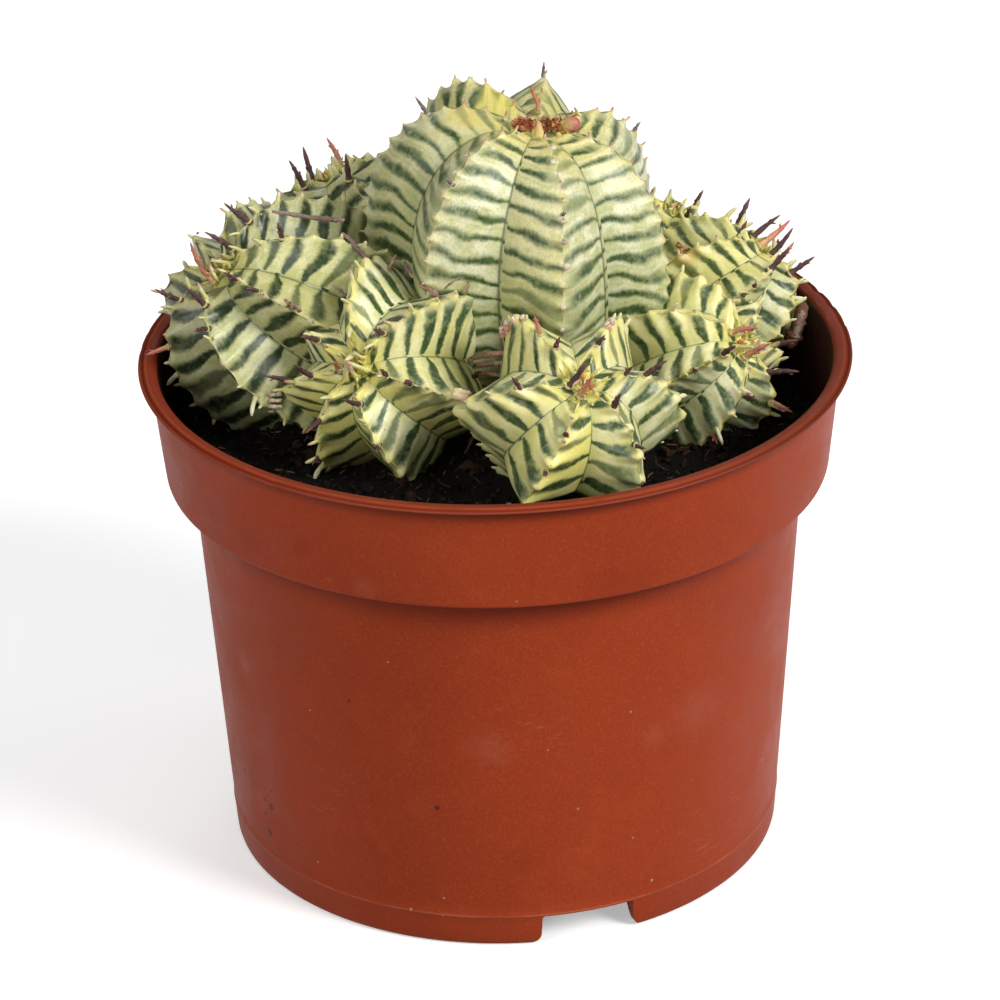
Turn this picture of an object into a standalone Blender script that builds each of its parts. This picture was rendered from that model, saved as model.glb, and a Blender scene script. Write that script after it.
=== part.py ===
"""A potted melon spurge: a ribbed, striped, clump-forming succulent in a 12 cm plastic
nursery pot. Metres, +Z up, origin at the middle of the pot's foot. The front is -Y."""

import math
import random

import bmesh
import bpy
from mathutils import Matrix, Vector

MM = 0.001
GAP = 0.3 * MM  # clearance left between pieces that press on each other

# ---------------------------------------------------------------- driving dimensions
POT_HEIGHT = 88.0 * MM
LIP_RADIUS = 60.0 * MM
LIP_DROP = 1.0 * MM
LIP_WIDTH = 2.6 * MM
COLLAR_TOP_RADIUS = 58.1 * MM
COLLAR_FOOT_RADIUS = 56.2 * MM
COLLAR_FOOT_Z = 68.6 * MM
BODY_TOP_RADIUS = 51.8 * MM
FOOT_RADIUS = 47.1 * MM
WALL = 1.3 * MM
FLOOR_UNDERSIDE_Z = 5.6 * MM
FLOOR_TOP_Z = 7.0 * MM
NOTCH_COUNT = 3
NOTCH_WIDTH = 16.0 * MM
NOTCH_HEIGHT = 5.3 * MM
NOTCH_FIRST_DEG = -72.0
DRAIN_HOLES = 6
DRAIN_HOLE_RADIUS = 4.5 * MM
DRAIN_RING_RADIUS = 33.0 * MM
CENTRE_HOLE_RADIUS = 5.0 * MM
POT_SEGMENTS = 72

SOIL_EDGE_Z = 72.6 * MM
SOIL_CROWN_Z = 74.4 * MM

# Each stem: base point and the lean of its axis (run per unit of rise), total length,
# waist = height of the widest ring as a share of the length, rib radius, groove and
# foot as shares of that radius, and the bearing of rib 0. Lengths are in mm, angles
# in degrees. "crowd" and "swell" give an amount and a direction: the ribs draw together
# and the stem grows fuller towards one side. "twist" is how far a rib turns about the
# axis on its way from foot to crown.
STEMS = {
    "main_stem": dict(base=(-4.6, 16.6, 68.0), lean=(0.22, -0.11), bend=(0.23, 0.04),
                      length=59.7, waist=0.57, radius=26.8, groove=0.78, foot=0.58,
                      bearing=-74, shoulder=0.59, dimple=0.045, twist=-2, ribs=7,
                      crowd=(6, 110),
                      swell=(0.05, 180)),
    "offset_front_right": dict(base=(7.3, -14.1, 67.0), lean=(0.22, -0.68), bend=(0, 0),
                               length=40.0, waist=0.61, radius=18.9, groove=0.68,
                               foot=0.28, bearing=-112, shoulder=0.86, dimple=0.057,
                               taper=0.72, twist=22, ribs=6, crowd=(4, 75),
                               swell=(0.07, 215)),
    "offset_front_left": dict(base=(-7.4, 6.5, 75.0), lean=(-0.84, -1.28),
                              bend=(-0.18, 0.04), length=37.4, waist=0.42,
                              radius=20.6, groove=0.68, foot=0.46, bearing=-70,
                              shoulder=0.87, dimple=0.10, twist=-2, ribs=7,
                              crowd=(8, 165),
                              swell=(0.09, 165)),
    "offset_right": dict(base=(19.8, 11.2, 71.2), lean=(1.17, -0.78), bend=(-0.09, 0.08),
                         length=33.3, waist=0.57, radius=15.4, groove=0.68, foot=0.50,
                         bearing=-143, shoulder=0.71, dimple=0.04, twist=-2, ribs=7,
                         crowd=(1, 0),
                         swell=(0.02, 300)),
    "offset_left": dict(base=(-18.6, 18.0, 68.0), lean=(-0.79, -0.39), bend=(0.28, 0.06),
                        length=48.8, waist=0.56, radius=21.9, groove=0.69, foot=0.50,
                        bearing=-99, shoulder=0.78, dimple=0.07, twist=-18, ribs=8,
                        crowd=(5, 85),
                        swell=(0.05, 60)),
    "offset_back_right": dict(base=(18.0, 13.5, 66.0), lean=(0.95, 0.22), bend=(0, 0),
                              length=42.7, waist=0.72, radius=14.1, groove=0.63,
                              foot=0.50, bearing=-87, shoulder=0.67, dimple=0.02,
                              twist=32, ribs=7, crowd=(4, 285),
                              swell=(0.06, 290)),
    "offset_back_left": dict(base=(-13.2, 28.4, 68.0), lean=(-0.41, 0.26), bend=(0, 0),
                             length=41.6, waist=0.63, radius=16.2, groove=0.67,
                             foot=0.50, bearing=-72, shoulder=0.71, dimple=0.037,
                             twist=-4, ribs=7, crowd=(6, 60),
                             swell=(0.05, 0)),
    "offset_far_right": dict(base=(20.0, 34.0, 67.0), lean=(0.40, 0.02), bend=(0, 0),
                             length=34.0, waist=0.60, radius=9.8, groove=0.64,
                             foot=0.55, bearing=-80, shoulder=0.70, dimple=0.04,
                             twist=10, ribs=6, crowd=(1, 60),
                             swell=(0.02, 240)),
    "offset_back": dict(base=(2.0, 42.5, 67.0), lean=(0.02, 0.18), bend=(0, 0),
                        length=27.0, waist=0.58, radius=10.5, groove=0.62, foot=0.55,
                        bearing=-60, shoulder=0.72, dimple=0.04, twist=-6, ribs=6,
                        crowd=(2, 180),
                        swell=(0.02, 300)),
}

# A stem is trimmed where it presses on the ones before it in this order.
TRIM_ORDER = ("main_stem", "offset_front_right", "offset_front_left", "offset_right",
              "offset_left", "offset_back_right", "offset_back_left",
              "offset_far_right", "offset_back")

# Persistent dry flower stalks stand on the scars of old leaves, which follow each other
# down a rib crest at an even step. For each stem: rib, number of the scar counted from
# the crown, and age.
SCAR_TOP, SCAR_STEP = 0.96, 0.09
STALK_LENGTH = {"grey": 4.5, "old": 6.0, "young": 6.4}
STALK_SCARS = {
    "main_stem": ((5, 2, "grey"), (3, 2, "grey"), (2, 3, "grey")),
    "offset_left": ((3, 0, "old"), (3, 1, "old"), (5, 4, "old"), (6, 0, "young"),
                    (0, 1, "old"), (7, 1, "old"), (7, 3, "young")),
    "offset_back_left": ((5, 0, "old"), (2, 0, "young"), (0, 2, "old"), (6, 1, "old")),
    "offset_front_left": ((4, 1, "old"), (5, 1, "old"), (5, 2, "old"), (0, 1, "old"),
                          (6, 2, "old"), (1, 2, "old")),
    "offset_back_right": ((4, 2, "old"), (5, 0, "old"), (6, 0, "young"), (0, 0, "old"),
                          (0, 2, "old"), (1, 1, "old")),
    "offset_right": ((6, 0, "young"), (0, 1, "old"), (1, 0, "young"), (2, 1, "old"),
                     (3, 1, "old"), (2, 3, "young")),
    "offset_front_right": ((5, 0, "old"), (0, 0, "young"), (1, 1, "old"), (2, 2, "old")),
}


def stalk_list():
    """Each stalk: stem, rib, place along the rib (0 foot, 1 crown), length in mm, lean
    towards the crown and lean sideways in degrees, and age. The lower ones are worn
    shorter, and from the third scar down they are snapped."""
    rand = random.Random(7)
    found = []
    for stem, scars in STALK_SCARS.items():
        for rib, scar, age in scars:
            length = STALK_LENGTH[age] * (1 - 0.06 * scar) * rand.uniform(0.88, 1.12)
            if scar > 2:
                length *= 0.72
            found.append((stem, rib, SCAR_TOP - SCAR_STEP * scar, length,
                          rand.uniform(-12, 12), rand.uniform(-12, 12), age))
    return found

COLOURS = {
    "pot": (0.330, 0.072, 0.030, 1.0),
    "soil": (0.018, 0.011, 0.007, 1.0),
    "stem": (0.520, 0.560, 0.270, 1.0),
    "old": (0.085, 0.040, 0.040, 1.0),
    "young": (0.560, 0.150, 0.110, 1.0),
    "grey": (0.200, 0.160, 0.140, 1.0),
    "flower": (0.300, 0.120, 0.040, 1.0),
    "fruit": (0.450, 0.110, 0.090, 1.0),
}


# ---------------------------------------------------------------- scene helpers
def material(name, roughness):
    found = bpy.data.materials.get(name)
    if found:
        return found
    made = bpy.data.materials.new(name)
    made.use_nodes = True
    shader = made.node_tree.nodes["Principled BSDF"]
    shader.inputs["Base Color"].default_value = COLOURS[name.split("_")[0]]
    shader.inputs["Roughness"].default_value = roughness
    shader.inputs["Metallic"].default_value = 0.0
    made.diffuse_color = COLOURS[name.split("_")[0]]
    return made


def clear():
    for obj in list(bpy.data.objects):
        bpy.data.objects.remove(obj, do_unlink=True)


def collection(name):
    made = bpy.data.collections.new(name)
    bpy.context.scene.collection.children.link(made)
    return made


def new_object(name, bm, where, look, roughness=0.6, smooth=True):
    mesh = bpy.data.meshes.new(name)
    bmesh.ops.recalc_face_normals(bm, faces=bm.faces)
    bm.to_mesh(mesh)
    bm.free()
    obj = bpy.data.objects.new(name, mesh)
    where.objects.link(obj)
    if smooth:
        mesh.shade_smooth()
        mesh.set_sharp_from_angle(angle=math.radians(35))
    mesh.materials.append(material(look, roughness))
    return obj


def as_cutter(obj):
    obj.hide_render = True
    obj.display_type = "WIRE"
    return obj


def cut(obj, cutter, operation="DIFFERENCE"):
    boolean = obj.modifiers.new(cutter.name, "BOOLEAN")
    boolean.operation = operation
    boolean.solver = "EXACT"
    boolean.object = cutter


def settle(obj):
    """Replaces the object's mesh with its evaluated one, keeping the largest piece."""
    graph = bpy.context.evaluated_depsgraph_get()
    graph.update()
    mesh = bpy.data.meshes.new_from_object(obj.evaluated_get(graph))
    obj.modifiers.clear()
    old = obj.data
    obj.data = mesh
    mesh.name = obj.name
    bpy.data.meshes.remove(old)
    bm = bmesh.new()
    bm.from_mesh(mesh)
    bmesh.ops.remove_doubles(bm, verts=bm.verts, dist=0.00001)
    bmesh.ops.dissolve_degenerate(bm, edges=bm.edges, dist=0.00001)
    seen, islands = set(), []
    for start in bm.verts:
        if start in seen:
            continue
        stack, island = [start], []
        seen.add(start)
        while stack:
            vert = stack.pop()
            island.append(vert)
            for edge in vert.link_edges:
                other = edge.other_vert(vert)
                if other not in seen:
                    seen.add(other)
                    stack.append(other)
        islands.append(island)
    islands.sort(key=len, reverse=True)
    for island in islands[1:]:
        bmesh.ops.delete(bm, geom=island, context="VERTS")
    bm.to_mesh(mesh)
    bm.free()


# ---------------------------------------------------------------- stem geometry
WAIST_U = 0.35  # the part of a rib line, from the foot, that lies below the waist


def stem_frame(stem):
    axis = Vector((stem["lean"][0], stem["lean"][1], 1.0)).normalized()
    east = (Vector((1, 0, 0)) - axis.x * axis).normalized()
    return axis, east, axis.cross(east)


def stem_centre(stem, height):
    """The point of the axis at this height along it, in metres."""
    axis, _, _ = stem_frame(stem)
    length = stem["length"] * MM
    base = Vector(stem["base"]) * MM
    bend = Vector((stem["bend"][0], stem["bend"][1], 0.0))
    low = (1 - height / length) ** 2 * length
    return base + axis * height + bend * low


def profile(stem, u, groove):
    """Radius and height along the axis of a crest line or a groove line at u."""
    length, radius = stem["length"] * MM, stem["radius"] * MM
    waist = length * stem["waist"]
    rise = length - waist
    share = stem["groove"] if groove else 1.0
    if u < WAIST_U:
        low = 1 - u / WAIST_U
        r = radius * share * (1 - (1 - stem["foot"]) * low ** stem.get("taper", 2.0))
        h = waist * (1 - low)
    else:
        angle = (u - WAIST_U) / (1 - WAIST_U) * math.pi / 2
        c = max(math.cos(angle), 0.0)
        power = stem["shoulder"] * (1.15 if groove else 1.0)
        r = radius * share * c**power if u < 1 else 0.0
        drop = 0.09 * c**0.5 if groove else 0.0
        h = waist + rise * math.sin(angle) * (1 - drop)
    h -= stem["dimple"] * length * math.exp(-((r / (0.30 * radius)) ** 2))
    return r, h


def rib_drift(stem, rib):
    """How far a rib stands off an even spacing, in degrees: the ribs crowd on one side."""
    amount, side = stem["crowd"]
    return amount * math.cos(math.radians(360.0 * rib / stem["ribs"] - side))


def rib_reach(stem, rib):
    """A rib's share of the stem's radius: the stem swells towards one side."""
    amount, side = stem["swell"]
    return 1.0 + amount * math.cos(math.radians(360.0 * rib / stem["ribs"] - side))


def rib_angle(stem, rib, u):
    ribs = stem["ribs"]
    turns, rest = divmod(rib, ribs)
    own = stem["bearing"] + 360.0 * rest / ribs + rib_drift(stem, rest) + stem["twist"] * (u - 0.65)
    return math.radians(own) + 2 * math.pi * turns


def rib_point(stem, u, rib, across, grow=0.0):
    """across runs from 0 on the crest of this rib to 1 on the next rib's crest, with
    the groove at 0.5."""
    _, east, north = stem_frame(stem)
    ribs = stem["ribs"]
    first, second = rib_angle(stem, rib, u), rib_angle(stem, rib + 1, u)
    reach_a = rib_reach(stem, rib)
    reach_b = rib_reach(stem, rib + 1)
    crest_r, crest_h = profile(stem, u, False)
    groove_r, groove_h = profile(stem, u, True)
    if across <= 0.5:
        angle, reach, share = first, reach_a, across * 2
    else:
        angle, reach, share = second, reach_b, (1 - across) * 2
    middle = (first + second) / 2
    groove_reach = (reach_a + reach_b) / 2

    def place(r, h, bearing):
        way = math.cos(bearing) * east + math.sin(bearing) * north
        return stem_centre(stem, h) + way * (r + (grow if r > 0 else 0.0))

    crest = place(crest_r * reach, crest_h, angle)
    groove = place(groove_r * groove_reach, groove_h, middle)
    point = crest.lerp(groove, share)
    # the cheeks of a rib swell a little
    out = math.cos((angle + middle) / 2) * east + math.sin((angle + middle) / 2) * north
    swell = 0.10 * (crest - groove).length * 4 * share * (1 - share)
    return point + out * swell


def stem_bmesh(stem, rows, cheek, grow=0.0):
    """The closed skin of a stem. cheek is the number of steps from crest to groove."""
    bm = bmesh.new()
    around = [(rib, step / (2 * cheek)) for rib in range(stem["ribs"]) for step in range(2 * cheek)]
    axis, _, _ = stem_frame(stem)
    rings = []
    for row in range(rows):
        u = row / rows
        ring = [bm.verts.new(rib_point(stem, u, rib, across, grow)) for rib, across in around]
        rings.append(ring)
    for low, high in zip(rings, rings[1:]):
        for i in range(len(low)):
            j = (i + 1) % len(low)
            bm.faces.new((low[i], low[j], high[j], high[i]))
    _, top_h = profile(stem, 1.0, False)
    crown = bm.verts.new(stem_centre(stem, top_h) + axis * grow)
    foot = bm.verts.new(stem_centre(stem, 0.0) - axis * (grow + 0.5 * MM))
    for i in range(len(around)):
        j = (i + 1) % len(around)
        bm.faces.new((rings[-1][i], rings[-1][j], crown))
        bm.faces.new((rings[0][j], rings[0][i], foot))
    return bm


# ---------------------------------------------------------------- the pot
def pot_profile():
    """The turned section: out along the floor, up the inside, over the lip, down the
    outside, under the foot and back along the underside of the floor."""
    def body(z):
        share = z / COLLAR_FOOT_Z
        return FOOT_RADIUS + (BODY_TOP_RADIUS - FOOT_RADIUS) * share

    lip_in = LIP_RADIUS - LIP_WIDTH
    return (
        (0.0, FLOOR_TOP_Z),
        (body(FLOOR_TOP_Z) - WALL, FLOOR_TOP_Z),
        (body(COLLAR_FOOT_Z) - WALL, COLLAR_FOOT_Z + 0.6 * MM),
        (COLLAR_FOOT_RADIUS - WALL, COLLAR_FOOT_Z + 1.4 * MM),
        (lip_in - 0.2 * MM, POT_HEIGHT - 1.2 * MM),
        (lip_in, POT_HEIGHT - 0.1 * MM),
        (lip_in + 0.2 * MM, POT_HEIGHT),
        (LIP_RADIUS - 0.25 * MM, POT_HEIGHT),
        (LIP_RADIUS, POT_HEIGHT - 0.25 * MM),
        (LIP_RADIUS, POT_HEIGHT - LIP_DROP + 0.15 * MM),
        (LIP_RADIUS - 0.2 * MM, POT_HEIGHT - LIP_DROP),
        (COLLAR_TOP_RADIUS, POT_HEIGHT - LIP_DROP - 0.1 * MM),
        (COLLAR_FOOT_RADIUS, COLLAR_FOOT_Z + 0.35 * MM),
        (COLLAR_FOOT_RADIUS - 0.35 * MM, COLLAR_FOOT_Z),
        (body(COLLAR_FOOT_Z), COLLAR_FOOT_Z - 0.2 * MM),
        (body(0.0) + 0.05 * MM, 0.4 * MM),
        (body(0.0) - 0.3 * MM, 0.0),
        (body(0.0) - WALL, 0.0),
        (body(0.0) - WALL + 0.1 * MM, FLOOR_UNDERSIDE_Z),
        (0.0, FLOOR_UNDERSIDE_Z),
    )


def turned(name, points, segments, where, look, roughness):
    bm = bmesh.new()
    verts = [bm.verts.new((r, 0.0, z)) for r, z in points]
    for a, b in zip(verts, verts[1:]):
        bm.edges.new((a, b))
    mesh = bpy.data.meshes.new(name)
    bm.to_mesh(mesh)
    bm.free()
    obj = bpy.data.objects.new(name, mesh)
    where.objects.link(obj)
    screw = obj.modifiers.new("turn", "SCREW")
    screw.axis = "Z"
    screw.steps = screw.render_steps = segments
    screw.use_merge_vertices = True
    screw.merge_threshold = 0.00001
    screw.use_smooth_shade = True
    mesh.materials.append(material(look, roughness))
    return obj


def cylinder(name, radius, low, high, at, where, vertices=24):
    bpy.ops.mesh.primitive_cylinder_add(vertices=vertices, radius=radius, depth=high - low,
                                        location=(at[0], at[1], (low + high) / 2))
    obj = bpy.context.object
    obj.name = name
    for other in list(obj.users_collection):
        other.objects.unlink(obj)
    where.objects.link(obj)
    return as_cutter(obj)


def notch_cutter(name, degrees, where):
    """A slot with rounded upper corners through the foot's skirt."""
    bm = bmesh.new()
    bmesh.ops.create_cube(bm, size=1.0)
    bmesh.ops.scale(bm, vec=(12 * MM, NOTCH_WIDTH, 2 * NOTCH_HEIGHT), verts=bm.verts)
    along_x = [e for e in bm.edges
               if abs(e.verts[0].co.y - e.verts[1].co.y) < 1e-6
               and abs(e.verts[0].co.z - e.verts[1].co.z) < 1e-6]
    bmesh.ops.bevel(bm, geom=along_x, offset=1.6 * MM, segments=3, affect="EDGES", profile=0.5)
    turn = Matrix.Rotation(math.radians(degrees), 4, "Z")
    bmesh.ops.translate(bm, vec=(FOOT_RADIUS - 1.0 * MM, 0, 0), verts=bm.verts)
    bmesh.ops.transform(bm, matrix=turn, verts=bm.verts)
    return as_cutter(new_object(name, bm, where, "pot", smooth=False))


def build_pot(parts, cutters):
    pot = turned("pot", pot_profile(), POT_SEGMENTS, parts, "pot", 0.55)
    for i in range(NOTCH_COUNT):
        degrees = NOTCH_FIRST_DEG + i * 360.0 / NOTCH_COUNT
        cut(pot, notch_cutter(f"notch_cutter_{i}", degrees, cutters))
    low, high = FLOOR_UNDERSIDE_Z - 1 * MM, FLOOR_TOP_Z + 1 * MM
    cut(pot, cylinder("centre_hole_cutter", CENTRE_HOLE_RADIUS, low, high, (0, 0), cutters))
    for i in range(DRAIN_HOLES):
        angle = math.radians(18 + i * 360.0 / DRAIN_HOLES)
        at = (DRAIN_RING_RADIUS * math.cos(angle), DRAIN_RING_RADIUS * math.sin(angle))
        cut(pot, cylinder(f"drain_hole_cutter_{i}", DRAIN_HOLE_RADIUS, low, high, at, cutters, 16))
    return pot


def build_soil(parts):
    inner_foot = FOOT_RADIUS - WALL - GAP
    points = (
        (0.0, SOIL_CROWN_Z),
        (26 * MM, SOIL_CROWN_Z - 0.2 * MM),
        (46 * MM, SOIL_EDGE_Z + 0.6 * MM),
        (COLLAR_FOOT_RADIUS - WALL - 2 * GAP, SOIL_EDGE_Z),
        (COLLAR_FOOT_RADIUS - WALL - 2.5 * GAP, COLLAR_FOOT_Z + 1.9 * MM),
        (BODY_TOP_RADIUS - WALL - 2 * GAP, COLLAR_FOOT_Z + 1.1 * MM),
        (inner_foot + 0.1 * MM, FLOOR_TOP_Z + GAP),
        (0.0, FLOOR_TOP_Z + GAP),
    )
    return turned("potting_mix", points, 48, parts, "soil", 0.95)


# ---------------------------------------------------------------- small pieces
def spine_frame(stem, rib, u, forward, side):
    """Root point on the crest and unit direction of a spine."""
    root = rib_point(stem, u, rib, 0.0)
    along = (rib_point(stem, u + 0.01, rib, 0.0) - rib_point(stem, u - 0.01, rib, 0.0)).normalized()
    out = root - stem_centre(stem, 0.5 * stem["length"] * MM)
    out = (out - along * out.dot(along)).normalized()
    across = out.cross(along)
    way = out + along * math.tan(math.radians(forward)) + across * math.tan(math.radians(side))
    return root, way.normalized()


def build_spine(name, entry, parts):
    stem_name, rib, u, length, forward, side, age = entry
    root, way = spine_frame(STEMS[stem_name], rib, u, forward, side)
    length *= MM
    bm = bmesh.new()
    bmesh.ops.create_cone(bm, cap_ends=True, segments=6, radius1=0.55 * MM, radius2=0.16 * MM,
                          depth=length)
    bmesh.ops.translate(bm, vec=(0, 0, length / 2 + 0.5 * MM), verts=bm.verts)
    turn = Vector((0, 0, 1)).rotation_difference(way).to_matrix().to_4x4()
    bmesh.ops.transform(bm, matrix=Matrix.Translation(root) @ turn, verts=bm.verts)
    return new_object(name, bm, parts, age, 0.5, smooth=False)


def tube(name, points, radius, parts, look, roughness=0.8, resolution=2):
    """A dry stalk: a curve with a round bevel and closed ends. Points in mm."""
    curve = bpy.data.curves.new(name, "CURVE")
    curve.dimensions = "3D"
    curve.bevel_depth = radius
    curve.bevel_resolution = resolution - 1
    curve.use_fill_caps = True
    spline = curve.splines.new("POLY")
    spline.points.add(len(points) - 1)
    for point, (x, y, z, width) in zip(spline.points, points):
        point.co = (x * MM, y * MM, z * MM, 1.0)
        point.radius = width
    obj = bpy.data.objects.new(name, curve)
    parts.objects.link(obj)
    curve.materials.append(material(look, roughness))
    return obj


def blob(name, at, size, parts, look, segments=12, rings=8, turn=0.0):
    bm = bmesh.new()
    bmesh.ops.create_uvsphere(bm, u_segments=segments, v_segments=rings, radius=0.5)
    place = (Matrix.Translation(Vector(at) * MM) @ Matrix.Rotation(turn, 4, "Z")
             @ Matrix.Diagonal((size[0] * MM, size[1] * MM, size[2] * MM, 1.0)))
    bmesh.ops.transform(bm, matrix=place, verts=bm.verts)
    return new_object(name, bm, parts, look, 0.8)


def main():
    clear()
    parts = collection("potted_melon_spurge")
    cutters = collection("cutters")
    build_pot(parts, cutters)
    soil = build_soil(parts)
    settle(soil)

    stems, grown = {}, {}
    for name in TRIM_ORDER:
        spec = STEMS[name]
        main_one = name == "main_stem"
        rows, cheek = (16, 3) if main_one else (12, 2)
        stems[name] = new_object(name, stem_bmesh(spec, rows, cheek), parts, "stem", 0.5)
        grown[name] = as_cutter(new_object(f"{name}_clearance", stem_bmesh(spec, rows, cheek, 1.7 * GAP),
                                           cutters, "stem", smooth=False))
    for i, name in enumerate(TRIM_ORDER):
        for earlier in TRIM_ORDER[:i]:
            if (stem_centre(STEMS[name], 0.5 * STEMS[name]["length"] * MM)
                    - stem_centre(STEMS[earlier], 0.5 * STEMS[earlier]["length"] * MM)).length < (
                        STEMS[name]["length"] / 2 + STEMS[earlier]["length"] / 2) * MM:
                cut(stems[name], grown[earlier])
        settle(stems[name])
    for name in TRIM_ORDER:
        hollow = stem_bmesh(STEMS[name], 16 if name == "main_stem" else 12,
                            3 if name == "main_stem" else 2, 3.4 * GAP)
        cut(soil, as_cutter(new_object(f"{name}_hollow", hollow, cutters, "soil", smooth=False)))
    settle(soil)

    for i, entry in enumerate(stalk_list()):
        build_spine(f"flower_stalk_{i + 1:02d}", entry, parts)

    remains = blob("crown_flower_remains", (8.0, 9.8, 124.4), (9.0, 5.4, 4.0), parts, "flower")
    cut(remains, grown["main_stem"])
    settle(remains)
    fruit = blob("young_fruit", (14.6, 9.4, 124.6), (3.4, 3.2, 3.2), parts, "fruit")
    cut(fruit, grown["main_stem"])
    settle(fruit)
    tube("crown_stalk", ((8.2, 14.6, 126.8, 1.0), (7.7, 14.6, 128.2, 0.8), (6.9, 14.8, 129.9, 0.6)),
         0.5 * MM, parts, "young")
    tube("fallen_stalk_left", ((-36.5, 6.4, 111.4, 0.6), (-31.0, 4.4, 111.2, 0.9),
                               (-26.5, 2.4, 111.4, 1.0), (-24.6, 1.4, 111.8, 1.0)),
         0.6 * MM, parts, "grey")
    tube("withered_stub", ((50.0, 11.5, 81.0, 1.0), (51.4, 12.5, 84.0, 1.1), (52.4, 14.0, 86.8, 0.9),
                           (52.8, 15.5, 89.0, 0.5)),
         1.4 * MM, parts, "flower")
    dried = blob("dried_flower_back_right", (31.6, 12.6, 98.8), (2.8, 2.2, 3.2), parts, "flower", 10, 6)
    cut(dried, grown["offset_back_right"])
    settle(dried)


main()
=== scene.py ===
"""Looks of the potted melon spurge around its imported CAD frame. Metres, +Z up, front -Y."""

import math
import random

import bpy
import bmesh
import numpy as np
from mathutils import Matrix, Vector, noise


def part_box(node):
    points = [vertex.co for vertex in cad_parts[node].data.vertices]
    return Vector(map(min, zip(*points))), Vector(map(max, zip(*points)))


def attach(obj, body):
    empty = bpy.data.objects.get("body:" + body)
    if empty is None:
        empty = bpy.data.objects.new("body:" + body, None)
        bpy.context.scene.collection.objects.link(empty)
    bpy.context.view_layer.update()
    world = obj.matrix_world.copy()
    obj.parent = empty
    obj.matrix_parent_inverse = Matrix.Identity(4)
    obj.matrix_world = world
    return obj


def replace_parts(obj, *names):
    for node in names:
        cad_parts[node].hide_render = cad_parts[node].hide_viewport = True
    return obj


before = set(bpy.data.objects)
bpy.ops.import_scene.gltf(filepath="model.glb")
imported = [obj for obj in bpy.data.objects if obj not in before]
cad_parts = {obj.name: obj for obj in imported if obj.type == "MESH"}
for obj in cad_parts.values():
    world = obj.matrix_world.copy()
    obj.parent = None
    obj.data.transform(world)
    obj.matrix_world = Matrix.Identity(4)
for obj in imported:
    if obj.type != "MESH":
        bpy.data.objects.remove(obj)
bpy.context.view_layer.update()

MM = 0.001
rng = random.Random(1471)
nrng = np.random.default_rng(1471)

# ------------------------------------------------------------------ the plant's table
# The plant's table: base point, lean and bend of the axis, then the shape of one
# rib line, then how its ribs crowd and swell to one side.
STEMS = {
    "main_stem": dict(base=(-4.6, 16.6, 68.0), lean=(0.22, -0.11), bend=(0.23, 0.04),
                      length=59.7, waist=0.57, radius=26.8, groove=0.78, foot=0.58,
                      bearing=-74, shoulder=0.59, dimple=0.045, twist=-2, ribs=7,
                      crowd=(6, 110),
                      swell=(0.05, 180)),
    "offset_front_right": dict(base=(7.3, -14.1, 67.0), lean=(0.22, -0.68), bend=(0, 0),
                               length=40.0, waist=0.61, radius=18.9, groove=0.68,
                               foot=0.28, bearing=-112, shoulder=0.86, dimple=0.057,
                               taper=0.72, twist=22, ribs=6, crowd=(4, 75),
                               swell=(0.07, 215)),
    "offset_front_left": dict(base=(-7.4, 6.5, 75.0), lean=(-0.84, -1.28),
                              bend=(-0.18, 0.04), length=37.4, waist=0.42,
                              radius=20.6, groove=0.68, foot=0.46, bearing=-70,
                              shoulder=0.87, dimple=0.10, twist=-2, ribs=7,
                              crowd=(8, 165),
                              swell=(0.09, 165)),
    "offset_right": dict(base=(19.8, 11.2, 71.2), lean=(1.17, -0.78), bend=(-0.09, 0.08),
                         length=33.3, waist=0.57, radius=15.4, groove=0.68, foot=0.50,
                         bearing=-143, shoulder=0.71, dimple=0.04, twist=-2, ribs=7,
                         crowd=(1, 0),
                         swell=(0.02, 300)),
    "offset_left": dict(base=(-18.6, 18.0, 68.0), lean=(-0.79, -0.39), bend=(0.28, 0.06),
                        length=48.8, waist=0.56, radius=21.9, groove=0.69, foot=0.50,
                        bearing=-99, shoulder=0.78, dimple=0.07, twist=-18, ribs=8,
                        crowd=(5, 85),
                        swell=(0.05, 60)),
    "offset_back_right": dict(base=(18.0, 13.5, 66.0), lean=(0.95, 0.22), bend=(0, 0),
                              length=42.7, waist=0.72, radius=14.1, groove=0.63,
                              foot=0.50, bearing=-87, shoulder=0.67, dimple=0.02,
                              twist=32, ribs=7, crowd=(4, 285),
                              swell=(0.06, 290)),
    "offset_back_left": dict(base=(-13.2, 28.4, 68.0), lean=(-0.41, 0.26), bend=(0, 0),
                             length=41.6, waist=0.63, radius=16.2, groove=0.67,
                             foot=0.50, bearing=-72, shoulder=0.71, dimple=0.037,
                             twist=-4, ribs=7, crowd=(6, 60),
                             swell=(0.05, 0)),
    "offset_far_right": dict(base=(20.0, 34.0, 67.0), lean=(0.40, 0.02), bend=(0, 0),
                             length=34.0, waist=0.60, radius=9.8, groove=0.64,
                             foot=0.55, bearing=-80, shoulder=0.70, dimple=0.04,
                             twist=10, ribs=6, crowd=(1, 60),
                             swell=(0.02, 240)),
    "offset_back": dict(base=(2.0, 42.5, 67.0), lean=(0.02, 0.18), bend=(0, 0),
                        length=27.0, waist=0.58, radius=10.5, groove=0.62, foot=0.55,
                        bearing=-60, shoulder=0.72, dimple=0.04, twist=-6, ribs=6,
                        crowd=(2, 180),
                        swell=(0.02, 300)),
}

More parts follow.
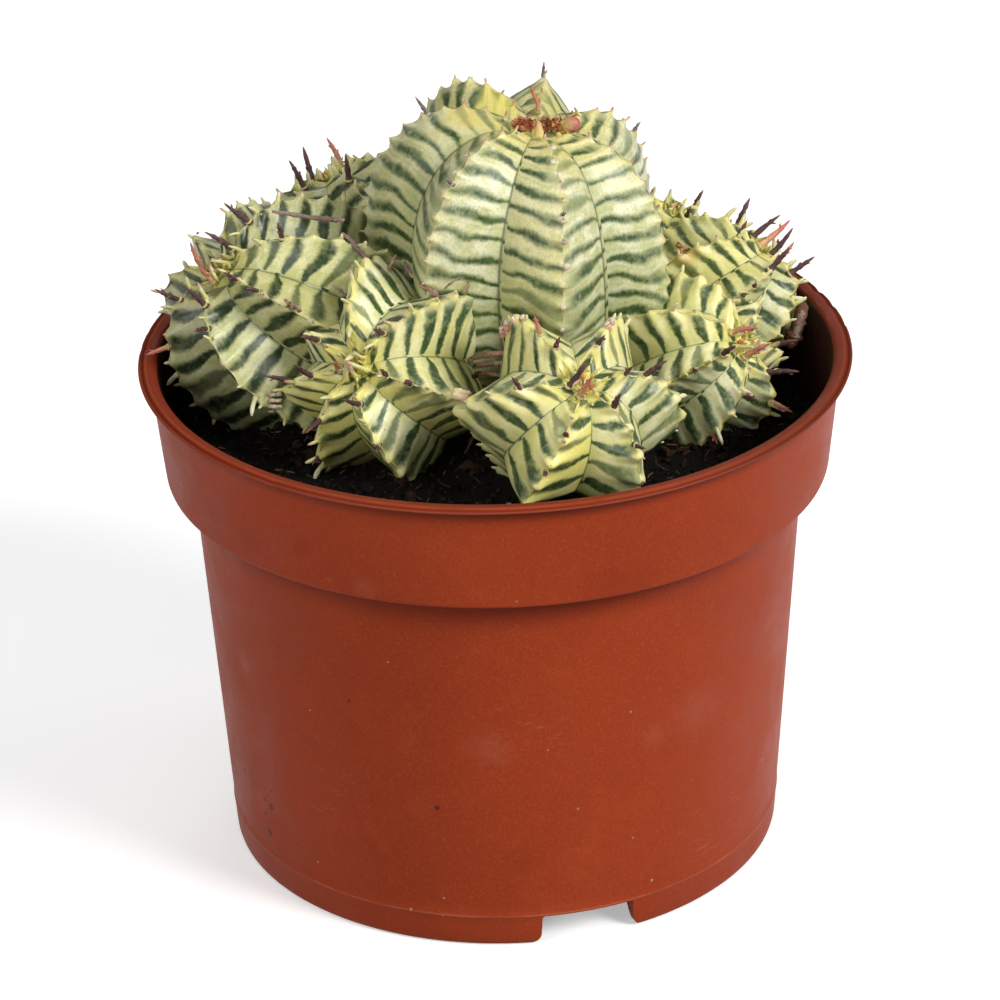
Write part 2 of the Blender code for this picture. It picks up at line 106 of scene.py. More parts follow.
# Persistent dry flower stalks stand on the scars of old leaves, which follow each other
# down a rib crest at an even step. For each stem: rib, number of the scar counted from
# the crown, and age.
SCAR_TOP, SCAR_STEP = 0.96, 0.09
STALK_LENGTH = {"grey": 4.5, "old": 6.0, "young": 6.4}
STALK_SCARS = {
    "main_stem": ((5, 2, "grey"), (3, 2, "grey"), (2, 3, "grey")),
    "offset_left": ((3, 0, "old"), (3, 1, "old"), (5, 4, "old"), (6, 0, "young"),
                    (0, 1, "old"), (7, 1, "old"), (7, 3, "young")),
    "offset_back_left": ((5, 0, "old"), (2, 0, "young"), (0, 2, "old"), (6, 1, "old")),
    "offset_front_left": ((4, 1, "old"), (5, 1, "old"), (5, 2, "old"), (0, 1, "old"),
                          (6, 2, "old"), (1, 2, "old")),
    "offset_back_right": ((4, 2, "old"), (5, 0, "old"), (6, 0, "young"), (0, 0, "old"),
                          (0, 2, "old"), (1, 1, "old")),
    "offset_right": ((6, 0, "young"), (0, 1, "old"), (1, 0, "young"), (2, 1, "old"),
                     (3, 1, "old"), (2, 3, "young")),
    "offset_front_right": ((5, 0, "old"), (0, 0, "young"), (1, 1, "old"), (2, 2, "old")),
}


def stalk_list(table, seed, size):
    """Each stalk: stem, rib, place along the rib (0 foot, 1 crown), length in mm, lean
    towards the crown and lean sideways in degrees, and age. The lower ones are worn
    shorter, and from the third scar down they are snapped."""
    rand = random.Random(seed)
    found = []
    for stem, scars in table.items():
        for rib, scar, age in scars:
            length = size * STALK_LENGTH[age] * (1 - 0.06 * scar) * rand.uniform(0.88, 1.12)
            if scar > 2:
                length *= 0.72
            found.append((stem, rib, SCAR_TOP - SCAR_STEP * scar, length,
                          rand.uniform(-12, 12), rand.uniform(-12, 12), age))
    return found


# smaller stalks that only show here, on the scars that the CAD's leave free
SMALL_SCARS = {
    "main_stem": ((6, 3, "grey"), (0, 3, "grey")),
    "offset_left": ((0, 0, "young"), (0, 2, "old"), (1, 1, "old"), (1, 2, "old"), (2, 2, "old")),
    "offset_front_left": ((2, 1, "old"), (1, 1, "old"), (5, 0, "young"), (0, 3, "old"), (6, 4, "old")),
    "offset_back_right": ((6, 2, "old"), (1, 0, "young"), (0, 4, "old"), (0, 5, "old"), (2, 4, "young")),
    "offset_right": ((0, 3, "old"), (1, 2, "old"), (1, 5, "young")),
    "offset_front_right": ((4, 1, "old"), (4, 2, "young"), (2, 1, "old"), (0, 2, "old"), (0, 4, "old"),
                           (1, 3, "old"), (3, 1, "old"), (5, 2, "old")),
    "offset_back_left": ((3, 2, "old"), (2, 3, "old")),
    "offset_far_right": ((0, 1, "old"), (2, 1, "old"), (4, 2, "young")),
    "offset_back": ((1, 2, "old"), (3, 1, "young"), (5, 2, "old")),
}
STALKS = tuple(stalk_list(STALK_SCARS, 7, 1.0))
SMALL_STALKS = tuple(stalk_list(SMALL_SCARS, 11, 0.64))


# ------------------------------------------------------------------ material helper
class Graph:
    """A material's node tree, written as expressions."""

    def __init__(self, name, roughness=0.5, **sockets):
        self.material = bpy.data.materials.new(name)
        self.material.use_nodes = True
        self.tree = self.material.node_tree
        self.shader = self.tree.nodes["Principled BSDF"]
        self.shader.inputs["Roughness"].default_value = roughness
        for key, value in sockets.items():
            self.shader.inputs[key.replace("_", " ")].default_value = value
        self.coords = self.tree.nodes.new("ShaderNodeTexCoord").outputs["Object"]

    def put(self, socket, value):
        if isinstance(value, bpy.types.NodeSocket):
            self.tree.links.new(value, socket)
        else:
            if isinstance(value, tuple) and len(value) == 3 and len(socket.default_value) == 4:
                value = (*value, 1.0)
            socket.default_value = value

    def math(self, operation, *values, clamp=False):
        node = self.tree.nodes.new("ShaderNodeMath")
        node.operation = operation
        node.use_clamp = clamp
        for socket, value in zip(node.inputs, values):
            self.put(socket, value)
        return node.outputs[0]

    def attribute(self, name, output="Fac"):
        node = self.tree.nodes.new("ShaderNodeAttribute")
        node.attribute_name = name
        return node.outputs[output]

    def noise(self, scale, detail=2.0, rough=0.5, vector=None, distortion=0.0):
        node = self.tree.nodes.new("ShaderNodeTexNoise")
        node.inputs["Scale"].default_value = scale
        node.inputs["Detail"].default_value = detail
        node.inputs["Roughness"].default_value = rough
        node.inputs["Distortion"].default_value = distortion
        self.tree.links.new(vector or self.coords, node.inputs["Vector"])
        return node.outputs["Fac"]

    def voronoi(self, scale, vector=None, output="Distance", feature="F1"):
        node = self.tree.nodes.new("ShaderNodeTexVoronoi")
        node.feature = feature
        node.inputs["Scale"].default_value = scale
        self.tree.links.new(vector or self.coords, node.inputs["Vector"])
        return node.outputs[output]

    def smooth(self, value, low, high, to_low=0.0, to_high=1.0):
        node = self.tree.nodes.new("ShaderNodeMapRange")
        node.interpolation_type = "SMOOTHSTEP"
        for key, item in (("Value", value), ("From Min", low), ("From Max", high),
                          ("To Min", to_low), ("To Max", to_high)):
            self.put(node.inputs[key], item)
        return node.outputs["Result"]

    def curve(self, value, points):
        """A piecewise linear function of value, through (position, value) pairs."""
        node = self.tree.nodes.new("ShaderNodeValToRGB")
        ramp = node.color_ramp
        while len(ramp.elements) < len(points):
            ramp.elements.new(0.5)
        for element, (position, level) in zip(ramp.elements, points):
            element.position = position
            element.color = (level, level, level, 1.0) if isinstance(level, float) else (*level, 1.0)
        self.put(node.inputs["Fac"], value)
        return node.outputs["Color"]

    def mix(self, factor, a, b, blend="MIX"):
        node = self.tree.nodes.new("ShaderNodeMix")
        node.data_type = "RGBA"
        node.blend_type = blend
        self.put(node.inputs[0], factor)
        self.put(node.inputs[6], a)
        self.put(node.inputs[7], b)
        return node.outputs[2]

    def random(self, value):
        node = self.tree.nodes.new("ShaderNodeTexWhiteNoise")
        node.noise_dimensions = "1D"
        self.put(node.inputs["W"], value)
        return node.outputs["Value"]

    def scaled(self, x, y, z):
        node = self.tree.nodes.new("ShaderNodeMapping")
        node.inputs["Scale"].default_value = (x, y, z)
        self.tree.links.new(self.coords, node.inputs["Vector"])
        return node.outputs["Vector"]

    def colour(self, value):
        self.put(self.shader.inputs["Base Color"], value)

    def roughness(self, value):
        self.put(self.shader.inputs["Roughness"], value)

    def bump(self, height, strength, distance):
        node = self.tree.nodes.new("ShaderNodeBump")
        node.inputs["Strength"].default_value = strength
        node.inputs["Distance"].default_value = distance
        self.put(node.inputs["Height"], height)
        self.tree.links.new(node.outputs["Normal"], self.shader.inputs["Normal"])


# ------------------------------------------------------------------ stem skin
# blushes of another colour: centre and size in mm, amount, tint
PATCHES = {
    "main_stem_skin": ((1.3, 15.9, 126.6, 4.8, 0.85, (0.740, 0.650, 0.150)), (-4.6, 9.0, 126.6, 3.0, 0.50, (0.740, 0.600, 0.170))),
    "offset_skin": ((32.7, 12.5, 99.8, 3.6, 0.80, (0.600, 0.420, 0.110)),),
}


def stem_material(name, ground, pale, yellow, dark, slate, mid, width, jitter, wobble, faint, warmth, crest_fade,
                  brushed, blur, mottle, gloss, vary):
    """Banded skin. The mesh carries phase (a whole number in the middle of each band), edge (0 on a
    crest, 1 in a groove), across (mm from the crest), rise (0 at the foot, 1 at the crown) and cheek."""
    g = Graph(name, roughness=0.42)
    edge, rise, cheek, across = (g.attribute(k) for k in ("edge", "rise", "cheek", "across"))
    big = g.noise(110.0, 2.0)
    patch = g.noise(330.0, 3.0, 0.55)
    blot = g.noise(820.0, 3.0, 0.6)
    fine = g.noise(1500.0, 4.0, 0.72)
    speck = g.noise(3300.0, 2.0, 0.6)
    cheek_shift = g.math("MULTIPLY", g.math("SUBTRACT", cheek, 0.5), jitter)
    phase = g.math("ADD", g.attribute("phase"), cheek_shift)
    # short streaks that run along the rib, so that the bands have brushed edges
    streaks = g.tree.nodes.new("ShaderNodeCombineXYZ")
    g.put(streaks.inputs[0], g.math("MULTIPLY", across, 1.7))
    g.put(streaks.inputs[1], g.math("MULTIPLY", phase, 1.3))
    g.put(streaks.inputs[2], g.math("MULTIPLY", cheek, 43.0))
    brush = g.noise(1.0, 4.0, 0.62, streaks.outputs[0])
    slow = g.tree.nodes.new("ShaderNodeCombineXYZ")
    g.put(slow.inputs[0], g.math("MULTIPLY", across, 0.17))
    g.put(slow.inputs[1], g.math("MULTIPLY", phase, 0.42))
    g.put(slow.inputs[2], g.math("MULTIPLY", cheek, 71.0))
    swing = g.noise(1.0, 1.0, 0.4, slow.outputs[0])
    phase = g.math("ADD", phase, g.math("MULTIPLY", g.math("SUBTRACT", swing, 0.5), wobble * 2.4))
    phase = g.math("ADD", phase, g.math("MULTIPLY", g.math("SUBTRACT", big, 0.5), wobble * 0.9))
    phase = g.math("ADD", phase, g.math("MULTIPLY", g.math("SUBTRACT", patch, 0.5), wobble * 0.35))
    number = g.math("FLOOR", g.math("ADD", phase, 0.5))
    offset = g.math("SUBTRACT", phase, number)
    away = g.math("MULTIPLY", g.math("ABSOLUTE", offset), 2.0)
    lot = g.random(g.math("ADD", number, g.math("MULTIPLY", cheek, 57.3)))
    lot_b = g.random(g.math("ADD", g.math("MULTIPLY", number, 1.7), g.math("MULTIPLY", cheek, 31.9)))
    cheek_warm, cheek_tone_and_light = g.attribute("warm"), g.attribute("tone_and_light")
    # a band is a thin line in the groove and a broad, loose blotch near the crest
    reach = g.curve(edge, ((0.0, 0.12), (0.07, crest_fade), (0.20, 1.02), (0.46, 1.06), (0.76, 0.80),
                           (0.93, 0.52), (1.0, 0.40)))
    broad = g.math("MULTIPLY", g.math("MULTIPLY", g.math("ADD", g.math("MULTIPLY", lot, 0.72 * vary), 0.98 - 0.36 * vary), width), reach)
    tilt = g.math("MULTIPLY", g.math("SUBTRACT", lot_b, 0.5), g.math("SUBTRACT", edge, 0.5))
    broad = g.math("MULTIPLY", broad, g.math("ADD", g.math("MULTIPLY", tilt, 1.7), 1.0))
    broad = g.math("MULTIPLY", broad, g.math("ADD", g.math("MULTIPLY", g.math("SUBTRACT", patch, 0.5), 1.5 * vary), 1.0))
    bristle = g.math("ADD", g.math("MULTIPLY", g.math("SUBTRACT", brush, 0.5), brushed),
                     g.math("MULTIPLY", g.math("SUBTRACT", fine, 0.5), 0.42))
    soft = g.math("ADD", away, bristle)
    # the edges are softest towards the crest
    blurred = g.curve(edge, ((0.0, blur * 1.5), (0.40, blur * 1.15), (0.80, blur * 0.65), (1.0, blur * 0.45)))
    body = g.smooth(soft, g.math("SUBTRACT", broad, blurred), g.math("ADD", broad, g.math("MULTIPLY", blurred, 0.8)),
                    1.0, 0.0)
    # the wash that spreads from each band, further on its crown side
    lee = g.math("ADD", away, g.math("MULTIPLY", g.smooth(offset, -0.25, 0.25, 0.0, 1.0), 0.22))
    halo = g.smooth(g.math("ADD", lee, g.math("MULTIPLY", bristle, 1.2)), g.math("SUBTRACT", broad, 0.10),
                    g.math("ADD", broad, 0.42), 1.0, 0.0)
    # the bands are blotched, mostly on the crest side
    loose = g.math("MULTIPLY", g.smooth(blot, 0.46, 0.66), g.smooth(edge, 0.85, 0.25, 0.25, 0.80))
    body = g.math("MULTIPLY", body, g.math("SUBTRACT", 1.0, g.math("MULTIPLY", loose, 0.72 * vary)))
    weak = g.smooth(lot_b, 0.02, 0.30, 1.0 - 0.62 * vary, 1.0)
    body = g.math("MULTIPLY", body, weak)
    # some bands stop short of the crest, and all of them pale towards the crown
    stop = g.math("MULTIPLY", g.smooth(lot, 0.45, 0.95), 0.38 * vary)
    body = g.math("MULTIPLY", body, g.smooth(edge, g.math("SUBTRACT", stop, 0.20), g.math("ADD", stop, 0.08)))
    near_top = g.smooth(g.math("ADD", rise, g.math("MULTIPLY", g.math("SUBTRACT", big, 0.5), 0.2)), 0.94, 1.0)
    body = g.math("MULTIPLY", body, g.math("SUBTRACT", 1.0, g.math("MULTIPLY", near_top, 0.50)))
    # faint thin lines between the bands
    between = g.math("ABSOLUTE", g.math("SUBTRACT", away, 1.0))
    thin = g.smooth(g.math("ADD", between, g.math("MULTIPLY", bristle, 0.9)), 0.0, 0.34, 1.0, 0.0)
    thin = g.math("MULTIPLY", g.math("MULTIPLY", thin, faint), g.math("MULTIPLY", reach, g.smooth(lot, 0.35, 0.75)))

    base = g.mix(g.smooth(patch, 0.36, 0.60), ground, pale)
    base = g.mix(g.math("MULTIPLY", g.smooth(big, 0.45, 0.62), 0.35), base, ground)
    crest = g.smooth(edge, 0.02, 0.36, warmth, 0.0)
    crown = g.smooth(rise, 0.72, 0.95, 0.0, 1.0)
    warm = g.math("MAXIMUM", crest, crown)
    warm = g.math("MAXIMUM", warm, cheek_warm)
    warm = g.math("MULTIPLY", warm, g.math("ADD", g.math("MULTIPLY", swing, 1.1), 0.40), clamp=True)
    base = g.mix(warm, base, yellow)
    base = g.mix(g.math("MULTIPLY", g.smooth(edge, 0.66, 1.0), 0.26), base, mid)
    # darker and greener towards the foot: painted shade low between the stems
    base = g.mix(g.smooth(rise, 0.62, 0.22, 0.0, 0.30), base, mid)
    base = g.mix(g.math("MULTIPLY", g.smooth(blot, 0.50, 0.70), mottle * 0.8), base, mid)
    base = g.mix(g.math("MULTIPLY", g.smooth(speck, 0.47, 0.66), mottle), base, mid)
    base = g.mix(g.math("MULTIPLY", g.smooth(fine, 0.50, 0.70), mottle), base, mid)
    base = g.mix(g.math("MULTIPLY", halo, 0.24 + blur * 0.8), base, mid)
    for x, y, z, size, amount, tint in PATCHES.get(name, ()):
        node = g.tree.nodes.new("ShaderNodeVectorMath")
        node.operation = "DISTANCE"
        g.tree.links.new(g.coords, node.inputs[0])
        node.inputs[1].default_value = (x * MM, y * MM, z * MM)
        near = g.math("ADD", node.outputs["Value"], g.math("MULTIPLY", g.math("SUBTRACT", patch, 0.5), 0.6 * size * MM))
        near = g.smooth(near, 0.45 * size * MM, 1.10 * size * MM, amount, 0.0)
        base = g.mix(near, base, tint)
        body = g.math("MULTIPLY", body, g.math("SUBTRACT", 1.0, g.math("MULTIPLY", near, 0.75)))
    base = g.mix(thin, base, mid)
    deep = g.mix(g.smooth(g.noise(800.0, 3.0, 0.6), 0.38, 0.64), dark, (dark[0] * 2.1, dark[1] * 1.75, dark[2] * 1.9))
    deep = g.mix(g.smooth(edge, 0.66, 0.10, 0.0, 0.85), deep, slate)
    base = g.mix(body, base, deep)
    base = g.mix(g.smooth(edge, 0.970, 1.0, 0.0, 0.72), base, (0.060, 0.080, 0.022))
    scar = g.math("MULTIPLY", g.smooth(edge, 0.07, 0.0), g.smooth(patch, 0.45, 0.62))
    base = g.mix(g.math("MULTIPLY", scar, 0.50), base, (0.50, 0.30, 0.20))
    # small brown dots, as on any old skin
    dot = g.smooth(g.voronoi(260.0), 0.060, 0.030)
    base = g.mix(g.math("MULTIPLY", g.math("MULTIPLY", dot, g.smooth(g.voronoi(260.0, output="Color"), 0.62, 0.66)), 0.6),
                 base, (0.20, 0.13, 0.06))
    cork = g.math("MULTIPLY", g.smooth(rise, 0.11, 0.0), g.smooth(big, 0.35, 0.6))
    base = g.mix(g.math("MULTIPLY", cork, 0.8), base, (0.16, 0.10, 0.055))
    # each cheek's lightness multiplies the colour: partly its own tone, partly painted light and shade
    tone_and_light_rgb = g.tree.nodes.new("ShaderNodeCombineColor")
    for socket in tone_and_light_rgb.inputs[:3]:
        g.put(socket, cheek_tone_and_light)
    base = g.mix(1.0, base, tone_and_light_rgb.outputs[0], "MULTIPLY")
    g.colour(base)
    g.roughness(g.smooth(patch, 0.2, 0.8, gloss - 0.06, gloss + 0.10))
    relief = g.math("ADD", g.math("MULTIPLY", fine, 0.4), g.math("MULTIPLY", g.math("SUBTRACT", 1.0, body), 0.4))
    g.bump(g.math("ADD", relief, g.math("MULTIPLY", speck, 0.2)), 0.40, 0.00012)
    g.shader.inputs["Subsurface Weight"].default_value = 0.10
    g.shader.inputs["Subsurface Radius"].default_value = (0.9, 1.0, 0.35)
    g.shader.inputs["Subsurface Scale"].default_value = 0.0014
    return g.material


def bits_material(name, roughness, grain=2600.0, contrast=0.35, gloss=0.3):
    """Colour comes from each vertex's own tint, broken up by a fine grain."""
    g = Graph(name, roughness=roughness)
    g.shader.inputs["Specular IOR Level"].default_value = gloss
    tint = g.attribute("tint", "Color")
    fine = g.noise(grain, 4.0, 0.65)
    shade = g.curve(fine, ((0.25, 1.0 - contrast), (0.75, 1.0 + contrast * 0.6)))
    g.colour(g.mix(1.0, tint, shade, "MULTIPLY"))
    g.bump(fine, 0.6, 0.00018)
    return g.material


MARKS = (
    ("dark", -156.8, 18.5, 0.55), ("dark", -145.1, 19.5, 0.3), ("dark", -145.8, 16.0, 0.7),
    ("dark", -148.1, 16.5, 0.35), ("dark", -148.3, 13.7, 0.4), ("dark", -147.5, 10.2, 0.75),
    ("dark", -103.5, 27.1, 0.5), ("dark", -120.3, 45.3, 0.3), ("dark", 64.0, 22.0, 0.5), ("dark", 131.0, 49.0, 0.4),
    ("bloom", -112.7, 70.6, 2.6), ("bloom", -50.0, 38.7, 6.0), ("bloom", -92.8, 39.1, 4.2),
    ("bloom", -149.7, 42.6, 2.4), ("bloom", -149.5, 15.4, 3.0), ("bloom", -60.0, 37.3, 3.0),
    ("bloom", 40.0, 30.0, 5.0), ("bloom", 118.0, 58.0, 4.0), ("bloom", 165.0, 24.0, 3.0),
    ("red", -144.6, 75.2, 2.5), ("red", -124.3, 75.9, 2.2), ("red", -67.5, 71.6, 5.0), ("red", -73.6, 71.0, 4.0),
    ("red", -86.5, 16.0, 2.2), ("red", -135.6, 73.4, 3.0), ("red", 85.0, 76.0, 4.0),
    ("speck", -110.1, 5.8, 0.5), ("speck", -103.0, 9.0, 0.35), ("speck", -103.4, 5.5, 0.35),
    ("speck", -59.5, 8.2, 0.5), ("speck", -65.4, 43.2, 0.35), ("speck", -87.4, 69.9, 0.35),
    ("speck", -129.9, 40.9, 0.35), ("speck", -81.8, 38.5, 0.3), ("speck", -64.2, 18.0, 0.3),
    ("speck", -132.0, 10.0, 0.35), ("speck", -111.5, 54.6, 0.3), ("speck", -25.1, 19.1, 0.35),
)


def pot_material():
    g = Graph("pot_terracotta_plastic", roughness=0.5)
    g.shader.inputs["Specular IOR Level"].default_value = 0.12
    broad = g.noise(22.0, 3.0, 0.5)
    cloud = g.noise(120.0, 4.0, 0.6)
    grain = g.noise(2100.0, 3.0, 0.75)
    fine = g.noise(5200.0, 2.0, 0.6)
    base = g.mix(g.smooth(broad, 0.3, 0.7), (0.304, 0.0385, 0.0090), (0.354, 0.0475, 0.0125))
    base = g.mix(g.math("MULTIPLY", g.smooth(cloud, 0.45, 0.75), 0.30), base, (0.450, 0.0720, 0.0240))
    base = g.mix(g.math("MULTIPLY", g.smooth(grain, 0.53, 0.68), 0.36), base, (0.480, 0.095, 0.040))
    base = g.mix(g.math("MULTIPLY", g.smooth(grain, 0.46, 0.32), 0.36), base, (0.230, 0.028, 0.008))
    # pale dust specks, and a few darker ones
    dust = g.voronoi(150.0)
    pick = g.voronoi(150.0, output="Color")
    few = g.smooth(pick, 0.86, 0.90)
    spots = g.math("MULTIPLY", g.smooth(dust, 0.075, 0.035), few)
    base = g.mix(g.math("MULTIPLY", spots, 0.75), base, (0.62, 0.34, 0.24))
    dirt = g.voronoi(95.0)
    dirty = g.smooth(g.voronoi(95.0, output="Color"), 0.90, 0.93)
    base = g.mix(g.math("MULTIPLY", g.math("MULTIPLY", g.smooth(dirt, 0.09, 0.04), dirty), 0.8), base,
                 (0.07, 0.022, 0.012))
    # scuffs: stretched streaks of paler plastic
    streak = g.noise(1.0, 4.0, 0.7, g.scaled(300.0, 300.0, 1100.0))
    patch = g.smooth(g.noise(38.0, 2.0), 0.58, 0.72)
    base = g.mix(g.math("MULTIPLY", g.math("MULTIPLY", g.smooth(streak, 0.55, 0.72), patch), 0.35), base,
                 (0.52, 0.20, 0.13))
    # marks in their own places: bearing in degrees, height and size in mm
    ragged = g.math("MULTIPLY", g.math("SUBTRACT", g.noise(700.0, 4.0, 0.7), 0.5), 1.6)
    for kind, bearing, z, size in MARKS:
        r = 57.2 if z > 69 else 47.1 + 4.7 * z / 68.6
        if z > 69:
            r = 56.2 + 1.9 * (z - 69) / 17.9
        at = (r * math.cos(math.radians(bearing)) * MM, r * math.sin(math.radians(bearing)) * MM, z * MM)
        node = g.tree.nodes.new("ShaderNodeVectorMath")
        node.operation = "DISTANCE"
        g.tree.links.new(g.coords, node.inputs[0])
        node.inputs[1].default_value = at
        near = g.math("DIVIDE", node.outputs["Value"], size * (0.62 if kind == "speck" else 1.0) * MM)
        near = g.math("ADD", near, g.math("MULTIPLY", ragged, 1.0 if size > 1 else 0.35))
        if kind == "dark":
            base = g.mix(g.smooth(near, 0.7, 1.15, 0.85, 0.0), base, (0.060, 0.018, 0.010))
        elif kind == "speck":
            base = g.mix(g.smooth(near, 0.5, 1.1, 0.75, 0.0), base, (0.66, 0.36, 0.25))
        elif kind == "red":
            base = g.mix(g.smooth(near, 0.5, 1.2, 0.30, 0.0), base, (0.260, 0.028, 0.009))
        else:
            base = g.mix(g.smooth(near, 0.0, 1.25, 0.085, 0.0), base, (0.60, 0.26, 0.20))
    # painted shade: the lip's upper face is painted darker, and so are the corners under the lip and under the collar
    split = g.tree.nodes.new("ShaderNodeSeparateXYZ")
    g.tree.links.new(g.coords, split.inputs[0])
    height = split.outputs["Z"]
    flat = g.tree.nodes.new("ShaderNodeCombineXYZ")
    for k in range(2):
        g.tree.links.new(split.outputs[k], flat.inputs[k])
    length = g.tree.nodes.new("ShaderNodeVectorMath")
    length.operation = "LENGTH"
    g.tree.links.new(flat.outputs[0], length.inputs[0])
    radius = length.outputs["Value"]
    # painted shade darkens the lip's upper face, which faces the light from above
    on_lip = g.smooth(height, 86.9 * MM, 87.4 * MM)
    base = g.mix(g.math("MULTIPLY", on_lip, 0.92), base, (0.190, 0.0200, 0.0038))
    # the lip's bead: a painted highlight on the inner edge, painted shade in the groove and a painted highlight on the
    # outer edge
    for low, high, amount, tint in ((58.35, 59.05, 0.50, (0.380, 0.078, 0.024)), (59.05, 59.52, 0.60, (0.100, 0.011, 0.003)),
                                    (59.55, 60.15, 0.36, (0.330, 0.085, 0.038))):
        third = (high - low) / 3
        ring = g.math("MULTIPLY", g.smooth(radius, low * MM, (low + third) * MM),
                      g.smooth(radius, high * MM, (high - third) * MM))
        ring = g.math("MULTIPLY", ring, g.math("MULTIPLY", on_lip, g.smooth(cloud, 0.30, 0.55, 0.45, 1.0)))
        base = g.mix(g.math("MULTIPLY", ring, amount), base, tint)
    # painted shade: the lip's top is painted darker towards the right, the side the key light falls on
    lip_right_painted_shade = g.math("MULTIPLY", on_lip, g.smooth(split.outputs["X"], 18.0 * MM, 50.0 * MM, 0.0, 0.48))
    base = g.mix(lip_right_painted_shade, base, (0.100, 0.0150, 0.0060))
    # a painted highlight line on the small ridge round the pot just above the foot
    step = g.math("MULTIPLY", g.smooth(height, 5.40 * MM, 5.58 * MM), g.smooth(height, 5.90 * MM, 5.72 * MM))
    base = g.mix(g.math("MULTIPLY", step, g.smooth(cloud, 0.40, 0.60, 0.20, 0.60)), base, (0.560, 0.170, 0.095))
    # painted shade inside the foot, seen through the notches
    foot_inside_painted_shade = g.math("MULTIPLY", g.smooth(radius, 46.9 * MM, 46.5 * MM), g.smooth(height, 6.2 * MM, 6.0 * MM))
    base = g.mix(g.math("MULTIPLY", foot_inside_painted_shade, 0.90), base, (0.022, 0.0050, 0.0025))
    # painted shade in the corners under the lip and under the collar
    for low, top, high, amount in ((84.2, 87.0, 87.35, 0.92), (61.0, 68.0, 68.9, 0.78)):
        shade = g.math("MULTIPLY", g.smooth(height, low * MM, top * MM), g.smooth(height, high * MM, top * MM))
        base = g.mix(g.math("MULTIPLY", shade, amount), base, (0.150, 0.018, 0.006))
    base = g.mix(g.smooth(height, 0.012, 0.0, 0.0, 0.25), base, (0.250, 0.034, 0.012))
    # painted shade: the inner wall is painted near-black below the rim
    base = g.mix(g.attribute("inside"), base, (0.016, 0.0062, 0.0044))
    g.colour(base)
    g.roughness(g.smooth(cloud, 0.25, 0.8, 0.44, 0.60))
    g.bump(g.math("ADD", g.math("MULTIPLY", grain, 0.7), fine), 0.30, 0.00010)
    return g.material


def soil_material():
    g = Graph("peat_mix", roughness=0.92)
    g.shader.inputs["Specular IOR Level"].default_value = 0.22
    tint = g.attribute("tint", "Color")
    coarse = g.noise(900.0, 5.0, 0.7)
    fine = g.noise(3600.0, 4.0, 0.75)
    base = g.mix(1.0, tint, g.curve(coarse, ((0.25, 0.45), (0.75, 1.5))), "MULTIPLY")
    base = g.mix(g.smooth(fine, 0.62, 0.72), base, (0.050, 0.026, 0.014))
    g.colour(base)
    g.bump(g.math("ADD", coarse, g.math("MULTIPLY", fine, 0.6)), 1.0, 0.0006)
    return g.material


def floor_material():
    g = Graph("pale_floor", roughness=0.9)
    g.shader.inputs["Specular IOR Level"].default_value = 0.1
    g.colour(g.mix(g.noise(9.0, 2.0), (0.93, 0.93, 0.93), (0.95, 0.95, 0.95)))
    # the floor is a lit white sheet, as on a light table
    g.shader.inputs["Emission Color"].default_value = (1.0, 1.0, 1.0, 1.0)
    g.shader.inputs["Emission Strength"].default_value = 0.36
    return g.material


MAIN_SKIN = stem_material(
    "main_stem_skin", ground=(0.640, 0.640, 0.340), pale=(0.920, 0.900, 0.660), yellow=(0.800, 0.700, 0.250),
    dark=(0.025, 0.058, 0.013), slate=(0.080, 0.125, 0.070), mid=(0.240, 0.305, 0.100), width=0.43, jitter=0.7,
    wobble=0.41, faint=0.30, warmth=0.45, crest_fade=0.62, brushed=0.36, blur=0.40, mottle=0.27, gloss=0.38, vary=1.0)
PUP_SKIN = stem_material(
    "offset_skin", ground=(0.680, 0.670, 0.340), pale=(0.930, 0.905, 0.640), yellow=(0.850, 0.755, 0.200),
    dark=(0.028, 0.060, 0.018), slate=(0.062, 0.104, 0.050), mid=(0.290, 0.350, 0.115), width=0.45, jitter=0.6,
    wobble=0.34, faint=0.16, warmth=0.68, crest_fade=0.50, brushed=0.28, blur=0.22, mottle=0.13, gloss=0.34, vary=0.60)
# a darker copy of the offset skin: painted shade for the offsets that stand in the shade on the left and at the back
SHADY_SKIN = stem_material(
    "left_offset_skin_painted_shade", ground=(0.640, 0.650, 0.320), pale=(0.920, 0.905, 0.600), yellow=(0.800, 0.740, 0.260),
    dark=(0.016, 0.036, 0.010), slate=(0.030, 0.056, 0.022), mid=(0.230, 0.300, 0.095), width=0.52, jitter=0.6,
    wobble=0.34, faint=0.22, warmth=0.50, crest_fade=0.62, brushed=0.30, blur=0.24, mottle=0.22, gloss=0.30, vary=0.50)
LEAF = bits_material("leaf_tooth", 0.45, contrast=0.16, gloss=0.4)
STALK = bits_material("dry_flower_stalk", 0.55, contrast=0.45)
DRY = bits_material("dried_remains", 0.8, contrast=0.55, gloss=0.15)
FRUIT = bits_material("young_fruit_skin", 0.42, contrast=0.25, gloss=0.45)
POT = pot_material()
SOIL = soil_material()


